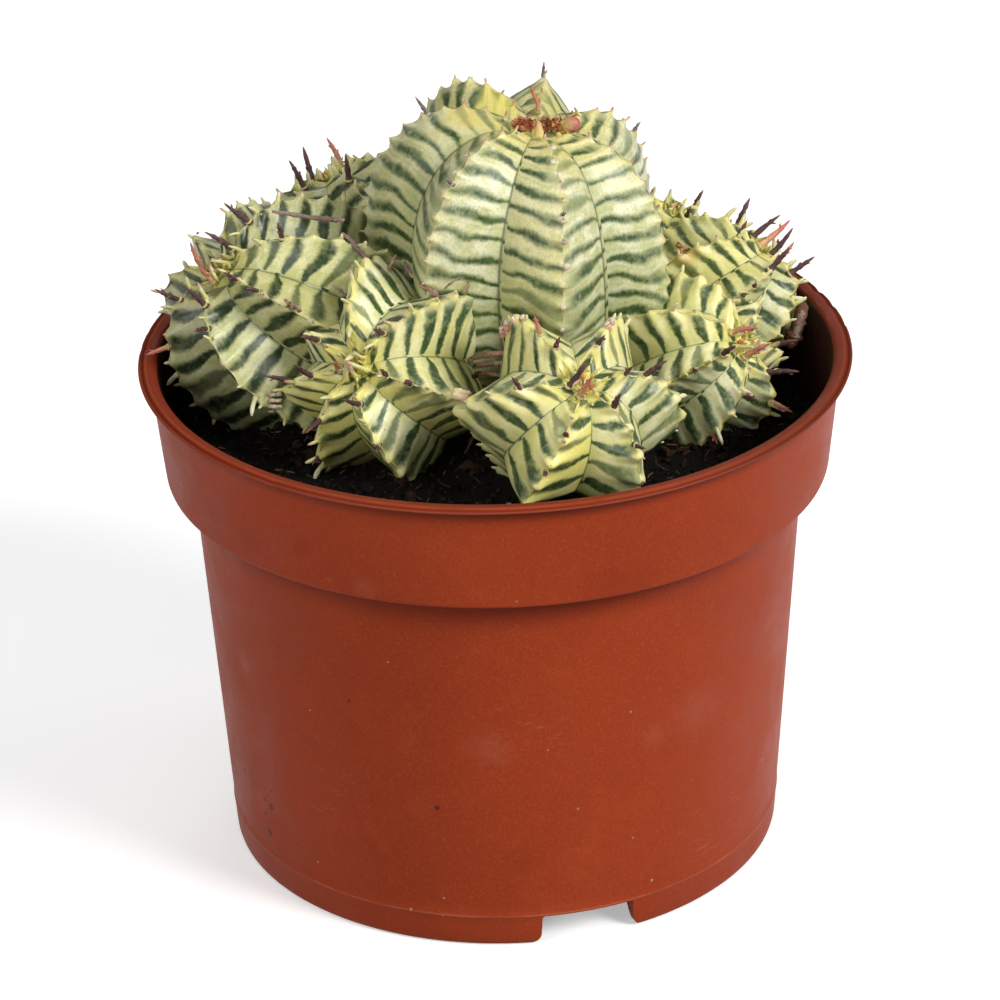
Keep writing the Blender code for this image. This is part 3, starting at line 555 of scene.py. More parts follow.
# ------------------------------------------------------------------ mesh helper
class Bag:
    """Collects closed pieces of mesh with a tint and a material for each."""

    def __init__(self):
        self.points, self.faces, self.tints, self.looks = [], [], [], []
        self.count = 0

    def add(self, points, faces, tint, look=0):
        points = np.asarray(points, float).reshape(-1, 3)
        tint = np.asarray(tint, float)
        if tint.ndim == 1:
            tint = np.tile(tint, (len(points), 1))
        self.points.append(points)
        self.tints.append(tint)
        self.faces.extend(tuple(i + self.count for i in face) for face in faces)
        self.looks.extend([look] * len(faces))
        self.count += len(points)

    def build(self, name, materials, smooth=True, sharp=None):
        mesh = bpy.data.meshes.new(name)
        mesh.from_pydata(np.concatenate(self.points).tolist(), [], self.faces)
        mesh.polygons.foreach_set("material_index", np.array(self.looks, np.int32))
        tints = np.concatenate(self.tints)
        colour = mesh.attributes.new("tint", "FLOAT_COLOR", "POINT")
        colour.data.foreach_set("color", np.column_stack([tints, np.ones(len(tints))]).astype(np.float32).ravel())
        for item in materials:
            mesh.materials.append(item)
        mesh.update()
        if smooth:
            mesh.shade_smooth()
        if sharp:
            mesh.set_sharp_from_angle(angle=math.radians(sharp))
        obj = bpy.data.objects.new(name, mesh)
        bpy.context.scene.collection.objects.link(obj)
        return obj


def unit(v):
    v = np.asarray(v, float)
    return v / max(np.linalg.norm(v), 1e-12)


def tube(path, radii, sides=8, squash=1.0, turn=0.0):
    """A closed tube along path, with a radius at each point. Returns points and faces."""
    path = np.asarray(path, float)
    radii = np.asarray(radii, float)
    tangents = np.gradient(path, axis=0)
    tangents /= np.maximum(np.linalg.norm(tangents, axis=1), 1e-12)[:, None]
    side = unit(np.cross(tangents[0], (0.31, 0.83, 0.46)))
    points = []
    for centre, tangent, radius in zip(path, tangents, radii):
        side = unit(side - tangent * (side @ tangent))
        other = np.cross(tangent, side)
        for k in range(sides):
            a = 2 * math.pi * k / sides + turn
            points.append(centre + radius * (math.cos(a) * side + squash * math.sin(a) * other))
    count = len(path)
    faces = [(i * sides + k, i * sides + (k + 1) % sides, (i + 1) * sides + (k + 1) % sides, (i + 1) * sides + k)
             for i in range(count - 1) for k in range(sides)]
    points.append(path[0])
    points.append(path[-1] + tangents[-1] * radii[-1] * 0.6)
    low, high = count * sides, count * sides + 1
    faces += [((k + 1) % sides, k, low) for k in range(sides)]
    last = (count - 1) * sides
    faces += [(last + k, last + (k + 1) % sides, high) for k in range(sides)]
    return np.array(points), faces


def along_tints(colours, count, sides):
    """The tints for a tube: colours at even steps from its root to its tip."""
    stops = np.linspace(0, 1, len(colours))
    at = np.linspace(0, 1, count)
    rows = np.column_stack([np.interp(at, stops, [c[i] for c in colours]) for i in range(3)])
    return np.concatenate([np.repeat(rows, sides, axis=0), rows[:1], rows[-1:]])


def ball(subdivisions):
    bm = bmesh.new()
    bmesh.ops.create_icosphere(bm, subdivisions=subdivisions, radius=1.0)
    points = np.array([v.co[:] for v in bm.verts])
    faces = [tuple(v.index for v in f.verts) for f in bm.faces]
    bm.free()
    return points, faces


BALLS = {n: ball(n) for n in (1, 2, 3)}


def spin(rand):
    """A random rotation as a 3 x 3 matrix."""
    q = unit(rand.normal(size=4))
    w, x, y, z = q
    return np.array([[1 - 2 * (y * y + z * z), 2 * (x * y - z * w), 2 * (x * z + y * w)],
                     [2 * (x * y + z * w), 1 - 2 * (x * x + z * z), 2 * (y * z - x * w)],
                     [2 * (x * z - y * w), 2 * (y * z + x * w), 1 - 2 * (x * x + y * y)]])


def basis(z_axis):
    z_axis = unit(z_axis)
    x_axis = unit(np.cross((0.2, 0.9, 0.1) if abs(z_axis[1]) < 0.9 else (1, 0, 0), z_axis))
    return np.column_stack([x_axis, np.cross(z_axis, x_axis), z_axis])


def noise3(points, scale, seed=0.0):
    """Smooth noise from -1 to 1 at each point."""
    return np.array([noise.noise(Vector(p) * scale + Vector((seed, seed * 0.7, -seed))) for p in points])


# ------------------------------------------------------------------ stem geometry
WAIST_U = 0.35


def rib_drift(stem, rib):
    """How far a rib stands off an even spacing, in degrees: the ribs crowd on one side."""
    amount, side = stem["crowd"]
    return amount * math.cos(math.radians(360.0 * rib / stem["ribs"] - side))


def rib_reach(stem, rib):
    """A rib's share of the stem's radius: the stem swells towards one side."""
    amount, side = stem["swell"]
    return 1.0 + amount * math.cos(math.radians(360.0 * rib / stem["ribs"] - side))


def stem_frame(stem):
    axis = unit((stem["lean"][0], stem["lean"][1], 1.0))
    east = unit(np.array((1.0, 0, 0)) - axis[0] * axis)
    return axis, east, np.cross(axis, east)


def stem_centre(stem, height):
    axis, _, _ = stem_frame(stem)
    length = stem["length"] * MM
    height = np.asarray(height, float)
    low = (1 - height / length) ** 2 * length
    bend = np.array((stem["bend"][0], stem["bend"][1], 0.0))
    return np.array(stem["base"]) * MM + height[..., None] * axis + low[..., None] * bend


def profile(stem, u, groove):
    length, radius = stem["length"] * MM, stem["radius"] * MM
    waist = length * stem["waist"]
    share = stem["groove"] if groove else 1.0
    u = np.asarray(u, float)
    low = np.clip(1 - u / WAIST_U, 0, 1)
    angle = np.clip((u - WAIST_U) / (1 - WAIST_U), 0, 1) * math.pi / 2
    c = np.maximum(np.cos(angle), 0.0)
    power = stem["shoulder"] * (1.15 if groove else 1.0)
    below = radius * share * (1 - (1 - stem["foot"]) * low ** stem.get("taper", 2.0))
    above = radius * share * np.where(c > 1e-9, np.maximum(c, 1e-9) ** power, 0.0)
    drop = 0.09 * c**0.5 if groove else 0.0
    r = np.where(u < WAIST_U, below, above)
    r = np.where(u >= 1, 0.0, r)
    h = np.where(u < WAIST_U, waist * (1 - low), waist + (length - waist) * np.sin(angle) * (1 - drop))
    h = h - stem["dimple"] * length * np.exp(-((r / (0.30 * radius)) ** 2))
    return r, h


def surface(stem, u, rib, share_side, fullness=0.05, crest_round=0.05):
    """Points of the skin. u and rib broadcast. share_side runs from 0 on the crest to
    +1 in the groove after it, or -1 in the groove before it."""
    _, east, north = stem_frame(stem)
    ribs = stem["ribs"]
    rib = np.asarray(rib, int) % ribs
    turn = np.array([rib_drift(stem, k) for k in range(stem["ribs"])], float)
    reach = np.array([rib_reach(stem, k) for k in range(stem["ribs"])], float)
    own = np.radians(stem["bearing"] + 360.0 * rib / ribs + turn[rib])
    twist = np.radians(stem["twist"]) * (np.asarray(u, float) - 0.65)
    side = np.where(np.asarray(share_side) >= 0, 1, -1)
    other = (rib + side) % ribs
    gap = np.radians(360.0 / ribs * side + turn[other] - turn[rib])
    middle = own + gap / 2
    share = np.abs(share_side)
    share = np.sqrt(share**2 + crest_round**2) - crest_round * (1 - share)
    share = share / math.sqrt(1 + crest_round**2)
    crest_r, crest_h = profile(stem, u, False)
    groove_r, groove_h = profile(stem, u, True)

    def place(r, h, bearing):
        bearing = bearing + twist
        shape = np.broadcast(r, bearing).shape
        r, h, bearing = (np.broadcast_to(v, shape) for v in (r, h, bearing))
        return stem_centre(stem, h) + r[..., None] * (np.cos(bearing)[..., None] * east
                                                     + np.sin(bearing)[..., None] * north)

    crest = place(crest_r * reach[rib], crest_h, own)
    groove = place(groove_r * (reach[rib] + reach[other]) / 2, groove_h, middle)
    point = crest + (groove - crest) * share[..., None]
    bearing = (own + middle) / 2 + twist
    out = np.cos(bearing)[..., None] * east + np.sin(bearing)[..., None] * north
    span = np.linalg.norm(crest - groove, axis=-1)
    swell = fullness * span * 4 * share * (1 - share)
    return point + out * swell[..., None]


def crest_frame(stem, rib, u):
    """Root, outward, along (towards the crown) and sideways directions on a crest."""
    root, ahead, behind = (surface(stem, np.array(v), rib, np.array(0.0)) for v in (u, u + 0.01, u - 0.01))
    along = unit(ahead - behind)
    out = root - stem_centre(stem, 0.5 * stem["length"] * MM)
    out = unit(out - along * (out @ along))
    return root, out, along, np.cross(out, along)


# period: distance between bands along the crest in mm; slope: how far a band drops at the
# crest, in mm; tooth: height of the crest's teeth in mm; bulge: how much the skin stands
# out under each tooth in mm; full: how far the cheeks swell.
LOOKS = {
    "main_stem": dict(period=3.7, slope=5.0, tooth=0.80, bulge=0.13, rows=200, cheek=13, leaf=1.7, full=0.105),
    "offset_front_right": dict(period=4.5, slope=1.8, tooth=0.66, bulge=0.62, rows=118, cheek=11, leaf=2.1, full=0.04),
    "offset_front_left": dict(period=4.2, slope=1.5, tooth=0.66, bulge=0.55, rows=124, cheek=11, leaf=3.5, full=0.03),
    "offset_right": dict(period=4.1, slope=1.4, tooth=0.52, bulge=0.50, rows=110, cheek=10, leaf=2.6, full=0.05),
    "offset_left": dict(period=4.5, slope=1.7, tooth=0.42, bulge=0.45, rows=130, cheek=11, leaf=2.3, full=0.05),
    "offset_back_right": dict(period=3.5, slope=1.2, tooth=0.52, bulge=0.45, rows=110, cheek=10, leaf=2.5, full=0.06),
    "offset_back_left": dict(period=3.8, slope=1.2, tooth=0.60, bulge=0.40, rows=110, cheek=10, leaf=1.9, full=0.06),
    "offset_far_right": dict(period=3.6, slope=1.0, tooth=0.55, bulge=0.35, rows=80, cheek=7, leaf=1.7, full=0.06),
    "offset_back": dict(period=3.6, slope=1.0, tooth=0.55, bulge=0.35, rows=76, cheek=7, leaf=1.7, full=0.06),
}

# (stem, rib, side): how yellow that cheek is, and how light; the lightness is partly its own tone and partly painted
# light and shade. The others take a value by chance.
CHEEKS = {
    ("main_stem", 0, -1): (0.48, 0.98), ("main_stem", 0, 1): (0.06, 1.00), ("main_stem", 6, 1): (0.10, 1.02),
    ("main_stem", 6, -1): (0.30, 0.88), ("main_stem", 5, 1): (0.42, 0.84), ("main_stem", 5, -1): (0.30, 0.90),
    ("main_stem", 1, -1): (0.06, 1.02), ("main_stem", 1, 1): (0.30, 0.96), ("main_stem", 4, 1): (0.70, 0.98),
    ("main_stem", 3, -1): (0.50, 0.92), ("main_stem", 2, -1): (0.05, 0.98),
    ("offset_front_left", 0, 1): (0.05, 1.32), ("offset_front_left", 0, -1): (0.80, 1.10),
    ("offset_front_left", 6, 1): (0.90, 1.08), ("offset_front_left", 5, 1): (0.90, 1.05),
    ("offset_front_left", 1, -1): (0.80, 1.00), ("offset_front_left", 1, 1): (0.40, 1.05),
    ("offset_front_left", 2, -1): (0.40, 0.98), ("offset_front_left", 3, -1): (0.02, 1.10),
    ("offset_front_left", 4, -1): (0.55, 0.95),
    ("offset_front_right", 0, -1): (0.65, 1.06), ("offset_front_right", 0, 1): (0.85, 1.10),
    ("offset_front_right", 1, -1): (0.45, 1.05), ("offset_front_right", 2, -1): (0.10, 1.00),
    ("offset_front_right", 5, 1): (0.60, 1.04), ("offset_front_right", 4, 1): (0.60, 0.92),
    ("offset_right", 0, -1): (0.25, 1.12), ("offset_right", 1, -1): (0.05, 1.12), ("offset_right", 2, -1): (0.05, 1.08),
    ("offset_right", 6, 1): (0.45, 1.06), ("offset_right", 5, 1): (0.50, 1.06),
    ("offset_back_right", 0, -1): (0.55, 0.98), ("offset_back_right", 1, -1): (0.02, 0.95),
    ("offset_back_right", 6, 1): (0.60, 0.98), ("offset_back_right", 5, 1): (0.50, 0.98),
    ("offset_left", 0, 1): (0.25, 0.84), ("offset_left", 1, -1): (0.55, 0.76), ("offset_left", 1, 1): (0.60, 0.84),
    ("offset_left", 2, -1): (0.40, 0.98), ("offset_left", 7, 1): (0.40, 0.64), ("offset_left", 3, -1): (0.10, 0.74),
    ("offset_left", 6, 1): (0.20, 0.70),
    ("offset_back_left", 0, -1): (0.30, 0.84), ("offset_back_left", 1, -1): (0.30, 0.86),
    ("offset_back_left", 5, 1): (0.35, 0.88), ("offset_back_left", 6, 1): (0.35, 0.84),
}
YELLOW = (0.76, 0.70, 0.22)
CREAM = (0.78, 0.74, 0.42)
PINK = (0.56, 0.27, 0.20)
TAN = (0.36, 0.20, 0.12)
PAD = (0.66, 0.60, 0.50)


def crest_lengths(stem, rib):
    """u and the distance down the crest from the crown, in mm, at even steps of u."""
    u = np.linspace(0, 1, 400)
    line = surface(stem, u, np.full(400, rib), np.zeros(400))
    steps = np.linalg.norm(np.diff(line, axis=0), axis=1) / MM
    return u, np.concatenate([np.cumsum(steps[::-1])[::-1], [0.0]])


def tooth_phases(stem, rib, look, rand):
    u, down = crest_lengths(stem, rib)
    start = rand.uniform(0.35, 0.65) * look["period"]
    found = []
    at = start
    while at < down[0] * 0.93:
        found.append((float(np.interp(-at, -down, u)), at))
        at += look["period"] * rand.uniform(0.86, 1.14)
    return found


def build_stem(name):
    stem, look = STEMS[name], LOOKS[name]
    seed = sorted(STEMS).index(name) * 7.3 + 3.1
    rand = np.random.default_rng(int(seed * 10))
    ribs, rows, cheek = stem["ribs"], look["rows"], look["cheek"]
    # rows crowd towards the crown, columns towards the crest and the groove
    t = np.linspace(0, 1, rows + 1)[:-1]
    u = t + 0.035 * np.sin(math.pi * t)
    step = np.linspace(0, 1, cheek + 1)
    step = step - 0.085 * np.sin(2 * math.pi * step)
    columns = [(rib, s) for rib in range(ribs) for s in np.concatenate([-step[1:-1][::-1], step[:-1], [1.0]])]
    rib_of = np.array([c[0] for c in columns])
    share = np.array([c[1] for c in columns])
    grid = surface(stem, u[:, None], rib_of[None, :], share[None, :], look["full"])

    lengths = [crest_lengths(stem, rib) for rib in range(ribs)]
    teeth = [tooth_phases(stem, rib, look, rand) for rib in range(ribs)]
    down = np.stack([np.interp(u, *lengths[rib]) for rib in range(ribs)], axis=1)[:, rib_of]
    edge = np.abs(share)[None, :] * np.ones((rows, 1))

    # how near each row is to a tooth of its rib: 1 on it, 0 halfway to the next
    near = np.zeros((rows, ribs))
    for rib in range(ribs):
        spots = np.array([d for _, d in teeth[rib]])
        gap = np.abs(np.interp(u, *lengths[rib])[:, None] - spots[None, :]).min(axis=1) / min(look["period"] / 2, 1.9)
        near[:, rib] = np.clip(1 - gap, 0, 1)
    near = near[:, rib_of]

    across_u = np.gradient(grid, axis=0)
    across_v = np.roll(grid, -1, axis=1) - np.roll(grid, 1, axis=1)
    normal = np.cross(across_v, across_u)
    normal /= np.maximum(np.linalg.norm(normal, axis=2), 1e-12)[:, :, None]
    outward = grid - stem_centre(stem, 0.5 * stem["length"] * MM)
    normal *= np.sign((normal * outward).sum(axis=2))[:, :, None]

    # distance from each rib's own crest, in mm
    span = np.zeros((rows, len(columns)))
    for rib in range(ribs):
        mine = np.where(rib_of == rib)[0]
        middle_at = mine[np.argmin(np.abs(share[mine]))]
        span[:, mine] = np.linalg.norm(grid[:, mine] - grid[:, middle_at][:, None], axis=2) / MM

    flat = grid.reshape(-1, 3)
    wave = noise3(flat, 130.0, seed).reshape(grid.shape[:2])
    small = noise3(flat, 420.0, seed + 5).reshape(grid.shape[:2])
    fade = np.clip(u / 0.08, 0, 1)[:, None] * np.clip((1 - u) / 0.06, 0, 1)[:, None]
    sharp = 1.15 if name == "main_stem" else 1.35
    lift = look["tooth"] * (near ** (2.2 if name == "main_stem" else 1.5) - 0.30) * np.exp(-((span / sharp) ** 2))
    lift += look["bulge"] * (0.5 - 0.5 * np.cos(math.pi * near) - 0.4) * np.exp(-((span / 3.6) ** 2))
    lift += 0.26 * wave * (1 - 0.6 * edge) + 0.09 * small
    grid = grid + normal * (lift * fade * MM)[:, :, None]

    slope = look["slope"] * (np.clip(1 - u, 0, 1) ** 1.1)[:, None] - 0.45
    main_one = name == "main_stem"
    droop = (0.9 if main_one else 0.3) * edge**5
    phase = (down - slope * (1 - edge) ** (1.7 if main_one else 1.3) - droop) / look["period"]

    count = len(columns)
    points = grid.reshape(-1, 3)
    faces = [(r * count + c, r * count + (c + 1) % count, (r + 1) * count + (c + 1) % count, (r + 1) * count + c)
             for r in range(rows - 1) for c in range(count)]
    # every face knows its cheek, so that stripes need not meet over a crest or a groove
    side_of = np.array([2 * rib_of[c] + (1 if share[c] >= 0 and share[(c + 1) % count] > 0 else 0)
                        for c in range(count)])
    lots = rand.uniform(0.02, 0.98, 2 * ribs)
    cheek_value = list(np.tile(lots[side_of], rows - 1))
    mood = np.random.default_rng(int(seed * 31))
    warm_lots = mood.uniform(0, 1, 2 * ribs) ** 1.6 * (0.45 if name == "main_stem" else 0.75)
    # lightness differs a little by chance; the left offset is painted darker all over as painted shade, and the listed
    # cheeks are painted lighter or darker for how they are lit
    tone_and_light_lots = mood.uniform(0.93, 1.04, 2 * ribs) * (0.86 if name == "offset_left" else 1.0)
    for rib in range(ribs):
        for k, side in ((0, -1), (1, 1)):
            if (name, rib, side) in CHEEKS:
                warm_lots[2 * rib + k], tone_and_light_lots[2 * rib + k] = CHEEKS[(name, rib, side)]
    warm_value = np.concatenate([np.tile(warm_lots[side_of], rows - 1), warm_lots[side_of], np.full(count, 0.2)])
    tone_and_light_value = np.concatenate([np.tile(tone_and_light_lots[side_of], rows - 1), tone_and_light_lots[side_of], np.full(count, 0.9)])
    _, top_h = profile(stem, np.array(0.9999), False)
    crown = stem_centre(stem, top_h)
    foot = stem_centre(stem, 0.0) - stem_frame(stem)[0] * 0.5 * MM
    base = len(points)
    points = np.concatenate([points, [crown, foot]])
    last = (rows - 1) * count
    for c in range(count):
        faces.append((last + c, last + (c + 1) % count, base))
        cheek_value.append(lots[side_of[c]])
    for c in range(count):
        faces.append(((c + 1) % count, c, base + 1))
        cheek_value.append(0.5)

    bag = Bag()
    bag.add(points, faces, CREAM, 0)
    skin_points = len(points)

    # leaf teeth on the crests, and the pads that older ones leave
    for rib in range(ribs):
        for index, (tu, at) in enumerate(teeth[rib]):
            if tu > 0.985 or tu < 0.10:
                continue
            root, out, along, sideways = crest_frame(stem, rib, tu)
            root = root + out * (look["tooth"] * 0.55) * MM
            youth = math.exp(-at / (9.0 if main_one else 13.0))
            length = look["leaf"] * (0.50 + 0.62 * youth) * rand.uniform(0.70, 1.25)
            if main_one and rib == 0:
                length *= 0.55
            if not main_one:
                length *= rand.uniform(0.70, 1.30)
            if rand.uniform() < (0.20 if youth > 0.3 else 0.42):
                length *= 0.36
            thick = (0.26 + 0.05 * length) * (0.8 if main_one else 1.15) * rand.uniform(0.85, 1.15) * MM
            lean = rand.uniform(0.2, 1.0) * (1 if rand.uniform() < 0.75 else -0.6)
            drift = rand.normal(0, 0.25)
            steps = np.linspace(0, 1, 7)
            path = [root - out * 0.6 * MM + out * (s * (length * 0.85 + 0.6)) * MM
                    + along * (lean * s**1.6 * length * 0.65) * MM
                    + sideways * (drift * s * length * 0.6) * MM for s in steps]
            radii = thick * np.array([1.60, 1.20, 1.02, 0.96, 0.90, 0.78, 0.42])
            tip = PINK if (main_one and rand.uniform() < 0.85) or rand.uniform() < 0.22 else CREAM
            if length < 1.0 and not main_one:
                tip = TAN if rand.uniform() < 0.5 else PINK
            bag.add(*tube(path, radii, 7, 0.68), along_tints((YELLOW, YELLOW, (0.62, 0.40, 0.27) if main_one else CREAM, tip), 7, 7), 1)
            if main_one and rib != 0 and rand.uniform() < 0.45:
                continue
            if main_one or rand.uniform() < 0.35:
                ball_points, ball_faces = BALLS[2]
                size = np.array((0.56, 0.56, 0.34)) * rand.uniform(0.55, 1.20) * MM
                place = root - out * 0.12 * MM + sideways * rand.normal(0, 0.42) * MM
                shade = np.array(PAD) * rand.uniform(0.70, 1.20) if main_one else np.array(TAN) * 1.1
                if rib != 0 or not main_one:
                    size = size * 0.58
                bag.add((ball_points * size) @ basis(out).T + place, ball_faces, shade, 1)

    # the growing point: upright young leaves and buds
    axis, east, north = stem_frame(stem)
    if name != "main_stem":
        many = 15 if name in ("offset_front_left", "offset_left", "offset_front_right") else 10
        for k in range(many):
            bearing = k * 2.39996 + seed
            away = (0.5 + 0.42 * k**0.72) * MM
            root = crown + (math.cos(bearing) * east + math.sin(bearing) * north) * away - axis * 0.2 * MM
            out = unit(axis * 1.2 + (math.cos(bearing) * east + math.sin(bearing) * north) * (0.15 + 0.07 * k))
            length = rand.uniform(1.3, 2.5) * (0.75 + 0.03 * k)
            steps = np.linspace(0, 1, 6)
            curl = rand.normal(0, 0.35)
            path = [root + out * (s * length) * MM + east * (curl * s * s) * MM for s in steps]
            radii = rand.uniform(0.28, 0.42) * MM * np.array([0.8, 1.0, 0.95, 0.75, 0.48, 0.12])
            tip = PINK if k % 4 == 1 else CREAM
            bag.add(*tube(path, radii, 6, 0.75), along_tints(((0.50, 0.50, 0.12), YELLOW, YELLOW, tip), 6, 6), 1)
        for k in range(3):
            bearing = k * 2.1 + seed * 2
            place = crown + (math.cos(bearing) * east + math.sin(bearing) * north) * 1.3 * MM + axis * 0.6 * MM
            size = np.array((0.5, 0.5, 0.6)) * rand.uniform(0.7, 1.1) * MM
            bag.add((BALLS[2][0] * size) @ basis(axis).T + place, BALLS[2][1],
                    ((0.55, 0.13, 0.06), (0.66, 0.30, 0.10), (0.58, 0.46, 0.12))[k], 1)

    obj = bag.build(name + "_skin", [{"main_stem": MAIN_SKIN, "offset_left": SHADY_SKIN, "offset_back_left": SHADY_SKIN}.get(name, PUP_SKIN), LEAF])
    mesh = obj.data
    total = len(mesh.vertices)

    def point_attribute(key, values, rest=0.0):
        filled = np.full(total, rest, np.float32)
        filled[: len(values)] = values
        mesh.attributes.new(key, "FLOAT", "POINT").data.foreach_set("value", filled)

    point_attribute("phase", np.concatenate([phase.ravel(), [0.0, 40.0]]))
    point_attribute("edge", np.concatenate([edge.ravel(), [1.0, 1.0]]))
    point_attribute("across", np.concatenate([span.ravel(), [0.0, 0.0]]))
    point_attribute("rise", np.concatenate([np.repeat(u, count), [1.0, 0.0]]))
    values = np.full(len(mesh.polygons), 0.5, np.float32)
    values[: len(cheek_value)] = cheek_value
    mesh.attributes.new("cheek", "FLOAT", "FACE").data.foreach_set("value", values)
    for key, own, rest in (("warm", warm_value, 0.2), ("tone_and_light", tone_and_light_value, 1.0)):
        values = np.full(len(mesh.polygons), rest, np.float32)
        values[: len(own)] = own
        mesh.attributes.new(key, "FLOAT", "FACE").data.foreach_set("value", values)
    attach(obj, "root")
    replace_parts(obj, name)
    return obj, skin_points


for stem_name in STEMS:
    build_stem(stem_name)


# ------------------------------------------------------------------ flower stalks
AGES = {
    "old": ((0.150, 0.080, 0.072), (0.090, 0.046, 0.050), (0.105, 0.048, 0.046), (0.190, 0.090, 0.075)),
    "young": ((0.620, 0.450, 0.180), (0.680, 0.330, 0.190), (0.660, 0.240, 0.170), (0.520, 0.160, 0.120)),
    "grey": ((0.300, 0.200, 0.170), (0.200, 0.150, 0.140), (0.150, 0.110, 0.105), (0.260, 0.210, 0.190)),
}


def add_stalk(bag, entry, rand):
    stem_name, rib, u, length, forward, side, age = entry
    stem = STEMS[stem_name]
    root, out, along, sideways = crest_frame(stem, rib, u)
    way = unit(out + along * math.tan(math.radians(forward)) + sideways * math.tan(math.radians(side)))
    steps = np.linspace(0, 1, 15)
    bend_way = unit(np.cross(way, rand.normal(size=3)))
    bend = rand.uniform(0.03, 0.09) * length
    path = [root - way * 0.5 * MM + way * (s * (length + 0.5)) * MM
            + bend_way * (bend * (s - s * s) * 2.2) * MM for s in steps]
    thick = (0.34 + 0.042 * length) * (0.85 if age == "grey" else 1.0) * MM
    shape = np.interp(steps, (0, 0.06, 0.22, 0.36, 0.42, 0.50, 0.64, 0.70, 0.77, 0.92, 1.0),
                      (1.30, 1.08, 0.92, 0.86, 1.06, 0.80, 0.66, 0.84, 0.55, 0.34, 0.10))
    shape = shape * (1 + 0.07 * rand.normal(size=len(steps)))
    colours = [np.array(c) * rand.uniform(0.8, 1.25) for c in AGES[age]]
    bag.add(*tube(path, shape * thick, 8, 0.85), along_tints(colours, len(steps), 8), 0)
    # scale-like bracts at the joints
    for s, grow in ((0.42, 1.0), (0.70, 0.7)):
        for turn in (0.0, math.pi):
            if rand.uniform() < 0.35:
                continue
            frame_b = basis(way)
            angle = turn + rand.uniform(0, 6.28)
            outward = frame_b @ np.array((math.cos(angle), math.sin(angle), 0.0))
            start = root + way * (s * length) * MM + outward * thick * 0.5
            tip = start + (way * 0.75 + outward * 0.55) * grow * rand.uniform(0.6, 1.0) * MM
            bag.add(*tube([start, (start + tip) / 2 + outward * 0.05 * MM, tip],
                          thick * np.array((0.55, 0.38, 0.08)) * grow, 5, 0.6),
                    np.array(colours[-1]) * 1.25, 0)
    # a pale pad at the root
    bag.add((BALLS[2][0] * np.array((1.25, 1.25, 0.55)) * thick) @ basis(out).T + root + out * 0.05 * MM,
            BALLS[2][1], np.array((0.60, 0.52, 0.22)) if age != "grey" else np.array(PAD) * 0.8, 0)


for stem_name in STEMS:
    cad_nodes = [f"flower_stalk_{i + 1:02d}" for i, e in enumerate(STALKS) if e[0] == stem_name]
    own = [e for e in STALKS + SMALL_STALKS if e[0] == stem_name]
    if not own:
        continue
    rand = np.random.default_rng(len(stem_name) * 13 + len(own))
    bag = Bag()
    for entry in own:
        add_stalk(bag, entry, rand)
    obj = bag.build("stalks_" + stem_name, [STALK])
    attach(obj, "root")
    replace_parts(obj, *cad_nodes) if cad_nodes else None


# ------------------------------------------------------------------ crown of the main stem
def petal(bag, at, way, length, width, tint, rand, look=0):
    """A crumpled dry scrap: a bent, closed strip."""
    way = unit(way)
    frame_b = basis(way)
    steps = np.linspace(0, 1, 6)
    curl_a, curl_b = rand.normal(0, 0.45), rand.normal(0, 0.45)
    path = [at + way * (s * length) * MM
            + frame_b[:, 0] * (curl_a * s * s * length * 0.5) * MM
            + frame_b[:, 1] * (curl_b * math.sin(2.4 * s) * length * 0.3) * MM for s in steps]
    radii = width * MM * np.array((0.45, 0.85, 1.0, 0.9, 0.6, 0.15))
    points, faces = tube(path, radii, 6, rand.uniform(0.18, 0.45), rand.uniform(0, 3.1))
    bag.add(points, faces, tint, look)


rand = np.random.default_rng(77)
bag = Bag()
low, high = (np.array(c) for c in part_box("crown_flower_remains"))
middle, half = (low + high) / 2, (high - low) / 2
BROWNS = ((0.420, 0.120, 0.060), (0.300, 0.085, 0.040), (0.500, 0.210, 0.090), (0.170, 0.055, 0.028),
          (0.540, 0.290, 0.110))


def crumple(at, size, tint, look=0, rough=0.34, balls=3, pitch=900.0):
    """A dry, crumpled lump round at, with this half size in mm."""
    points = BALLS[balls][0] * np.asarray(size, float) * MM
    ridge = 1 - np.abs(noise3(points, pitch, float(rand.uniform(0, 50))))
    points = points * (1 - rough + rough * 1.6 * (ridge - 0.55))[:, None]
    shade = np.clip(0.45 + 0.9 * (ridge - 0.35), 0.25, 1.5)[:, None]
    bag.add(points @ spin(rand).T + at, BALLS[balls][1], np.asarray(tint) * shade, look)


def at_crown(x, y, z):
    return middle + np.array((x, y, z)) * MM


